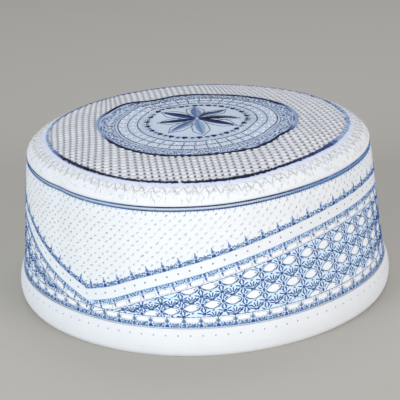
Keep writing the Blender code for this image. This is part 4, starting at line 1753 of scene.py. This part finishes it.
@dataclass
class Shoulder:
    """The rounded strip, its zigzag stitching, and the navy and light-blue lines at its edges.

    The navy line is open for join_half degrees to both sides of the azimuth join.
    """
    columns: int = 360
    rows: int = 20
    zigzags: int = 104
    hatches: int = 1500
    navy_stitches: int = 600
    fill_stitches: int = 760
    bead_count: int = 420
    join: float = -96.3
    join_half: float = 0.85
    seed: int = 11

    def build(self, palette: Palette) -> None:
        """Makes and dresses the shoulder's pieces."""
        start = UPPER.along_radius(LINE_RADIUS) + GAP / 2
        outer = UPPER.evenly(start, UPPER.along[-1] - GAP / 2, self.rows)
        shell = RoundShell("shoulder_cloth", cloth_outline(outer, CLOTH, 8), self.columns,
                           SHOULDER_FACE.girth_radius, shoulder_dye)
        finish_piece(shell.build(), palette.shoulder, "shoulder_cloth", "shoulder_band")
        finish_piece(self.zigzag(), palette.grey, "shoulder_cloth")
        finish_piece(self.navy_line(), palette.ink, "shoulder_cloth")
        finish_piece(self.light_line(), palette.blue, "wall_cloth")

    def zigzag(self) -> Piece:
        """Stitches the fine grey zigzag between the two lines, two faint rows and strewn hatching."""
        work = ThreadWork(SHOULDER_FACE)
        pitch = SHOULDER_FACE.girth / self.zigzags
        across = (np.arange(self.zigzags) + 0.6) * pitch
        top = -4.0 * MM + line_shift(across)
        foot = -8.7 * MM + line_shift(across)
        high = pair(across, top)
        low = pair(across + pitch * 0.42, foot)
        after = pair(across + pitch, np.roll(top, -1))
        work.add(bowed_paths(high, low), 0.36 * MM, 0.58)
        work.add(bowed_paths(low, after), 0.32 * MM, 0.42)
        fold = np.linspace(0.0, SHOULDER_FACE.girth, 181)
        for height, tone in ((-3.9 * MM, 0.3), (-7.0 * MM, 0.42)):
            row = running_line(fold, line_shift(fold) + height)
            work.add(row, 0.32 * MM, tone, keep=np.arange(len(row)) % 3 != 0)
        chance = np.random.default_rng(self.seed + 1)
        count = self.hatches
        across = chance.uniform(0.0, TURN, count) * SHOULDER_FACE.girth_radius
        start = pair(across, chance.uniform(-11.5, -1.6, count) * MM)
        hatch = pair(chance.normal(0.0, 0.25, count), -chance.uniform(0.8, 2.4, count))
        end = start + hatch * MM
        work.add(bowed_paths(start, end), 0.3 * MM, chance.uniform(0.0, 0.5, count), rise=0.4)
        return work.build("shoulder_zigzag")

    def navy_line(self) -> Piece:
        """Stitches the crown's navy line as close slanting satin, with its join near the front."""
        work = ThreadWork(SHOULDER_FACE)
        chance = np.random.default_rng(self.seed)
        count = self.navy_stitches
        degrees = azimuths(count, -180.0)
        across = SHOULDER_FACE.bearing(degrees)
        slant = 0.35 * MM
        middle = line_shift(across)
        half = read(LINE_HALVES, degrees) * MM
        back = ease((np.sin(np.radians(degrees)) + 0.1) / 0.3)
        inside = np.maximum(middle + half, 0.4 * MM) + chance.normal(0, 0.24 * MM, count)
        outside = np.minimum(middle - half, -0.38 * MM) + chance.normal(0, 0.24 * MM, count)
        inner = pair(across - slant, inside)
        outer = pair(across + slant, outside)
        # painted sheen: the navy satin grows lighter towards both sides; it is also paler over the right and
        # at the back
        tones = side_sheen_tone(degrees, Tone.NAVY.value + 0.04, 0.42)
        tones = tones - 0.2 * within(degrees, -65.0, 25.0, 120.0, 40.0) * (tones > 0.5)
        tones = np.minimum(tones, 1.0 - 0.45 * back)
        tones = tones + chance.uniform(-0.14, 0.1, count) * np.where(tones < 0.8, 1.4, 0.5)
        keep = np.abs(degrees - self.join) > self.join_half
        work.add(bowed_paths(outer, inner), 0.86 * MM, tones, rise=0.6, base=0.1 * MM, keep=keep)
        return work.build("crown_navy_line")

    def light_line(self) -> Piece:
        """Stitches the double line over the shoulder's seam: a fill, two rows of beads and ticks."""
        work = ThreadWork(SEAM_FACE)
        degrees = azimuths(self.fill_stitches, -180.0)
        across = SEAM_FACE.bearing(degrees)
        high = level(across + 0.3 * MM, SEAM_HEIGHT + 0.75 * MM)
        low = level(across - 0.3 * MM, SEAM_HEIGHT - 0.6 * MM)
        right = within(degrees, -75.0, 30.0, 40.0, 30.0)
        left = ease((-100.0 - degrees) / 30.0) + ease((degrees - 60.0) / 30.0)
        work.add(bowed_paths(low, high), 0.74 * MM, 0.34 * right, rise=0.2, base=0.1 * MM)
        beads = SEAM_FACE.bearing(azimuths(self.bead_count, -180.0))
        paler = 0.3 * np.interp(beads, across, right) + 0.22 * np.interp(beads, across, left)
        chance = np.random.default_rng(self.seed + 2)
        reach = np.array([0.64, 0.16]) * MM
        for height, tone, width in ((1.05, 0.96, 0.84), (-0.9, 0.84, 0.64)):
            row = level(beads, SEAM_HEIGHT + height * MM)
            tones = tone - paler + chance.normal(0.0, 0.07, len(beads))
            work.add(both_ways(row, reach), width * MM, tones, rise=0.5, base=0.15 * MM)
        ticks = beads[::2] + chance.normal(0.0, 0.3 * MM, len(beads[::2]))
        head = level(ticks, SEAM_HEIGHT - 1.2 * MM)
        foot = head - pair(np.zeros(len(ticks)), chance.uniform(0.4, 1.1, len(ticks))) * MM
        work.add(bowed_paths(head, foot), 0.4 * MM, chance.uniform(0.2, 0.6, len(ticks)), rise=0.4)
        return work.build("seam_light_line")


# azimuth, distance from the navy line's own circle towards the crown's middle, in mm
LINE_ROWS = np.array([
    (-180.0, 0.0), (-160.0, 0.4), (-140.0, 1.0), (-133.0, 1.1), (-125.0, 0.4), (-118.0, 0.15),
    (-97.0, 0.0), (-88.0, -0.5), (-80.0, -1.1), (-72.0, -1.15), (-65.0, -0.7), (-58.0, -0.2),
    (-45.0, 0.35), (-30.0, 0.2), (0.0, 0.0), (180.0, 0.0),
])


# azimuth, half the navy line's width, in mm
LINE_HALVES = np.array([(-180.0, 0.55), (-125.0, 0.5), (-100.0, 0.95), (-75.0, 0.9), (-55.0, 0.75),
                        (-35.0, 1.1), (20.0, 1.0), (50.0, 0.45), (180.0, 0.55)])


def line_shift(across: Array) -> Array:
    """Returns how far the navy line wanders towards the crown's middle, read from LINE_ROWS."""
    degrees = (np.degrees(across / SHOULDER_FACE.girth_radius) + 180.0) % 360.0 - 180.0
    return read(LINE_ROWS, degrees) * MM


def shoulder_dye(across: Array, height: Array) -> Array:
    """Returns how far the shoulder is tinted: a soft edge below the navy line."""
    foot = LINE_HEIGHT - 1.5 * MM + 0.3 * line_shift(across)
    return 0.5 * ease((height - foot) / (1.2 * MM))


# Hem

@dataclass
class HemBand:
    """The folded hem: a U of cloth round the wall's foot, with a row of small holes painted as grey shade."""
    columns: int = 360
    cloth: float = 1.2 * MM
    fold_rise: float = 1.4 * MM
    fold_width: float = 1.0 * MM
    hole_count: int = 100
    hole_drop: float = 3.2 * MM

    def build(self, palette: Palette) -> None:
        """Makes and dresses the hem's pieces."""
        outer = HEM.evenly(0.0, HEM.along[-1], 22)
        back = CLOTH + GAP + self.cloth
        slot_back = CLOTH + GAP
        floor = WALL_FOOT - GAP
        inner = np.array([
            (WALL_FOOT_RADIUS - back + self.fold_width, 0.0),
            (WALL_FOOT_RADIUS - back, self.fold_rise),
            (RIM_RADIUS - back, HEM_LIP),
            (RIM_RADIUS - slot_back, HEM_LIP),
            (WALL_FOOT_RADIUS - slot_back, floor),
            (WALL_FOOT_RADIUS + GAP, floor),
            (RIM_RADIUS + GAP, HEM_LIP),
        ])
        shell = RoundShell("hem_cloth", np.vstack([outer, inner]), self.columns, HEM_FACE.girth_radius)
        finish_piece(shell.build(), palette.hem, "hem_cloth", "hem_band")
        finish_piece(self.holes(), palette.grey, "hem_cloth")

    def holes(self) -> Piece:
        """Sets the row of small holes as grey strokes of painted shade."""
        work = ThreadWork(HEM_FACE)
        across = HEM_FACE.bearing(azimuths(self.hole_count, start=0.67))
        places = level(across, HEM_HEIGHT - self.hole_drop)
        reach = np.array([0.36, 0.1]) * MM
        # painted shade: a grey stroke at each hole
        work.add(both_ways(places, reach), 0.62 * MM, 0.62, rise=0.12)
        return work.build("hem_hole_shade")


# Studio

@dataclass(frozen=True)
class Lamp:
    """A square soft light: its name, place, size, power in watts and tint."""
    name: str
    place: tuple[float, float, float]
    size: float
    power: float
    tint: tuple[float, float, float]


LAMPS = (
    Lamp("key", (-1.1, -1.0, 0.5), 0.9, 17.2, (0.93, 0.985, 1.0)),
    Lamp("fill", (1.0, -1.15, 0.42), 1.0, 17.5, (1.0, 0.98, 0.96)),
    Lamp("top", (0.1, 0.4, 1.25), 0.9, 6.0, (0.97, 0.98, 1.0)),
)


@dataclass
class Studio:
    """The floor, the lights and the camera at the photo's view."""
    distance: float = 851.6 * MM
    target_height: float = 45.0 * MM
    elevation: float = math.radians(20.92)
    roll: float = math.radians(2.49)
    lens: float = 148.25
    shift: tuple[float, float] = (-0.0042, -0.0085)
    sensor: float = 36.0
    floor_reach: float = 6.0
    floor_roughness: float = 0.95
    paper: tuple[float, float, float] = (0.72, 0.70, 0.67)
    room: tuple[float, float, float] = (0.80, 0.82, 0.85)
    room_strength: float = 0.45

    def build(self) -> None:
        """Makes the floor, the lights and the camera."""
        self.floor()
        for lamp in LAMPS:
            self.light(lamp)
        self.world()
        self.camera()

    def floor(self) -> None:
        """Lays a plain pale floor."""
        far = self.floor_reach
        corners = np.array([(-far, -far, 0.0), (far, -far, 0.0), (far, far, 0.0), (-far, far, 0.0)])
        floor = make_object("floor", corners, [np.array([[0, 1, 2, 3]])], smooth=False)
        material, shader = new_material("floor_paper", self.floor_roughness)
        shader.inputs["Base Color"].default_value = rgba(*self.paper)
        floor.data.materials.append(material)

    def light(self, lamp: Lamp) -> None:
        """Adds a light that faces the cap."""
        light = bpy.data.lights.new(lamp.name, "AREA")
        light.size = lamp.size
        light.energy = lamp.power
        light.color = lamp.tint
        holder = bpy.data.objects.new(lamp.name, light)
        holder.location = lamp.place
        aim = Vector((0.0, 0.0, self.target_height)) - Vector(lamp.place)
        holder.rotation_euler = aim.to_track_quat("-Z", "Y").to_euler()
        bpy.context.scene.collection.objects.link(holder)

    def world(self) -> None:
        """Gives the room an even, pale light."""
        world = bpy.data.worlds.new("room")
        world.use_nodes = True
        background = world.node_tree.nodes["Background"]
        background.inputs["Color"].default_value = rgba(*self.room)
        background.inputs["Strength"].default_value = self.room_strength
        bpy.context.scene.world = world

    def camera(self) -> None:
        """Sets the camera at the photo's height, distance and slight turn."""
        lens = bpy.data.cameras.new("camera")
        lens.sensor_width = self.sensor
        lens.lens = self.lens
        lens.shift_x, lens.shift_y = self.shift
        camera = bpy.data.objects.new("camera", lens)
        back = Vector((0.0, -math.cos(self.elevation), math.sin(self.elevation)))
        turn = (-back).to_track_quat("-Z", "Y").to_matrix().to_4x4()
        place = Vector((0.0, 0.0, self.target_height)) + back * self.distance
        camera.matrix_world = Matrix.Translation(place) @ turn @ Matrix.Rotation(-self.roll, 4, "Z")
        bpy.context.scene.collection.objects.link(camera)
        bpy.context.scene.camera = camera


def main() -> None:
    """Builds the cap from the crown down, then the studio."""
    logging.basicConfig(level=logging.INFO, format="%(name)s %(message)s")
    bpy.context.scene.view_settings.view_transform = "Standard"
    palette = Palette()
    CrownTop().build(palette)
    Shoulder().build(palette)
    SideWall().build(palette)
    HemBand().build(palette)
    Studio().build()


if __name__ == "__main__":
    main()
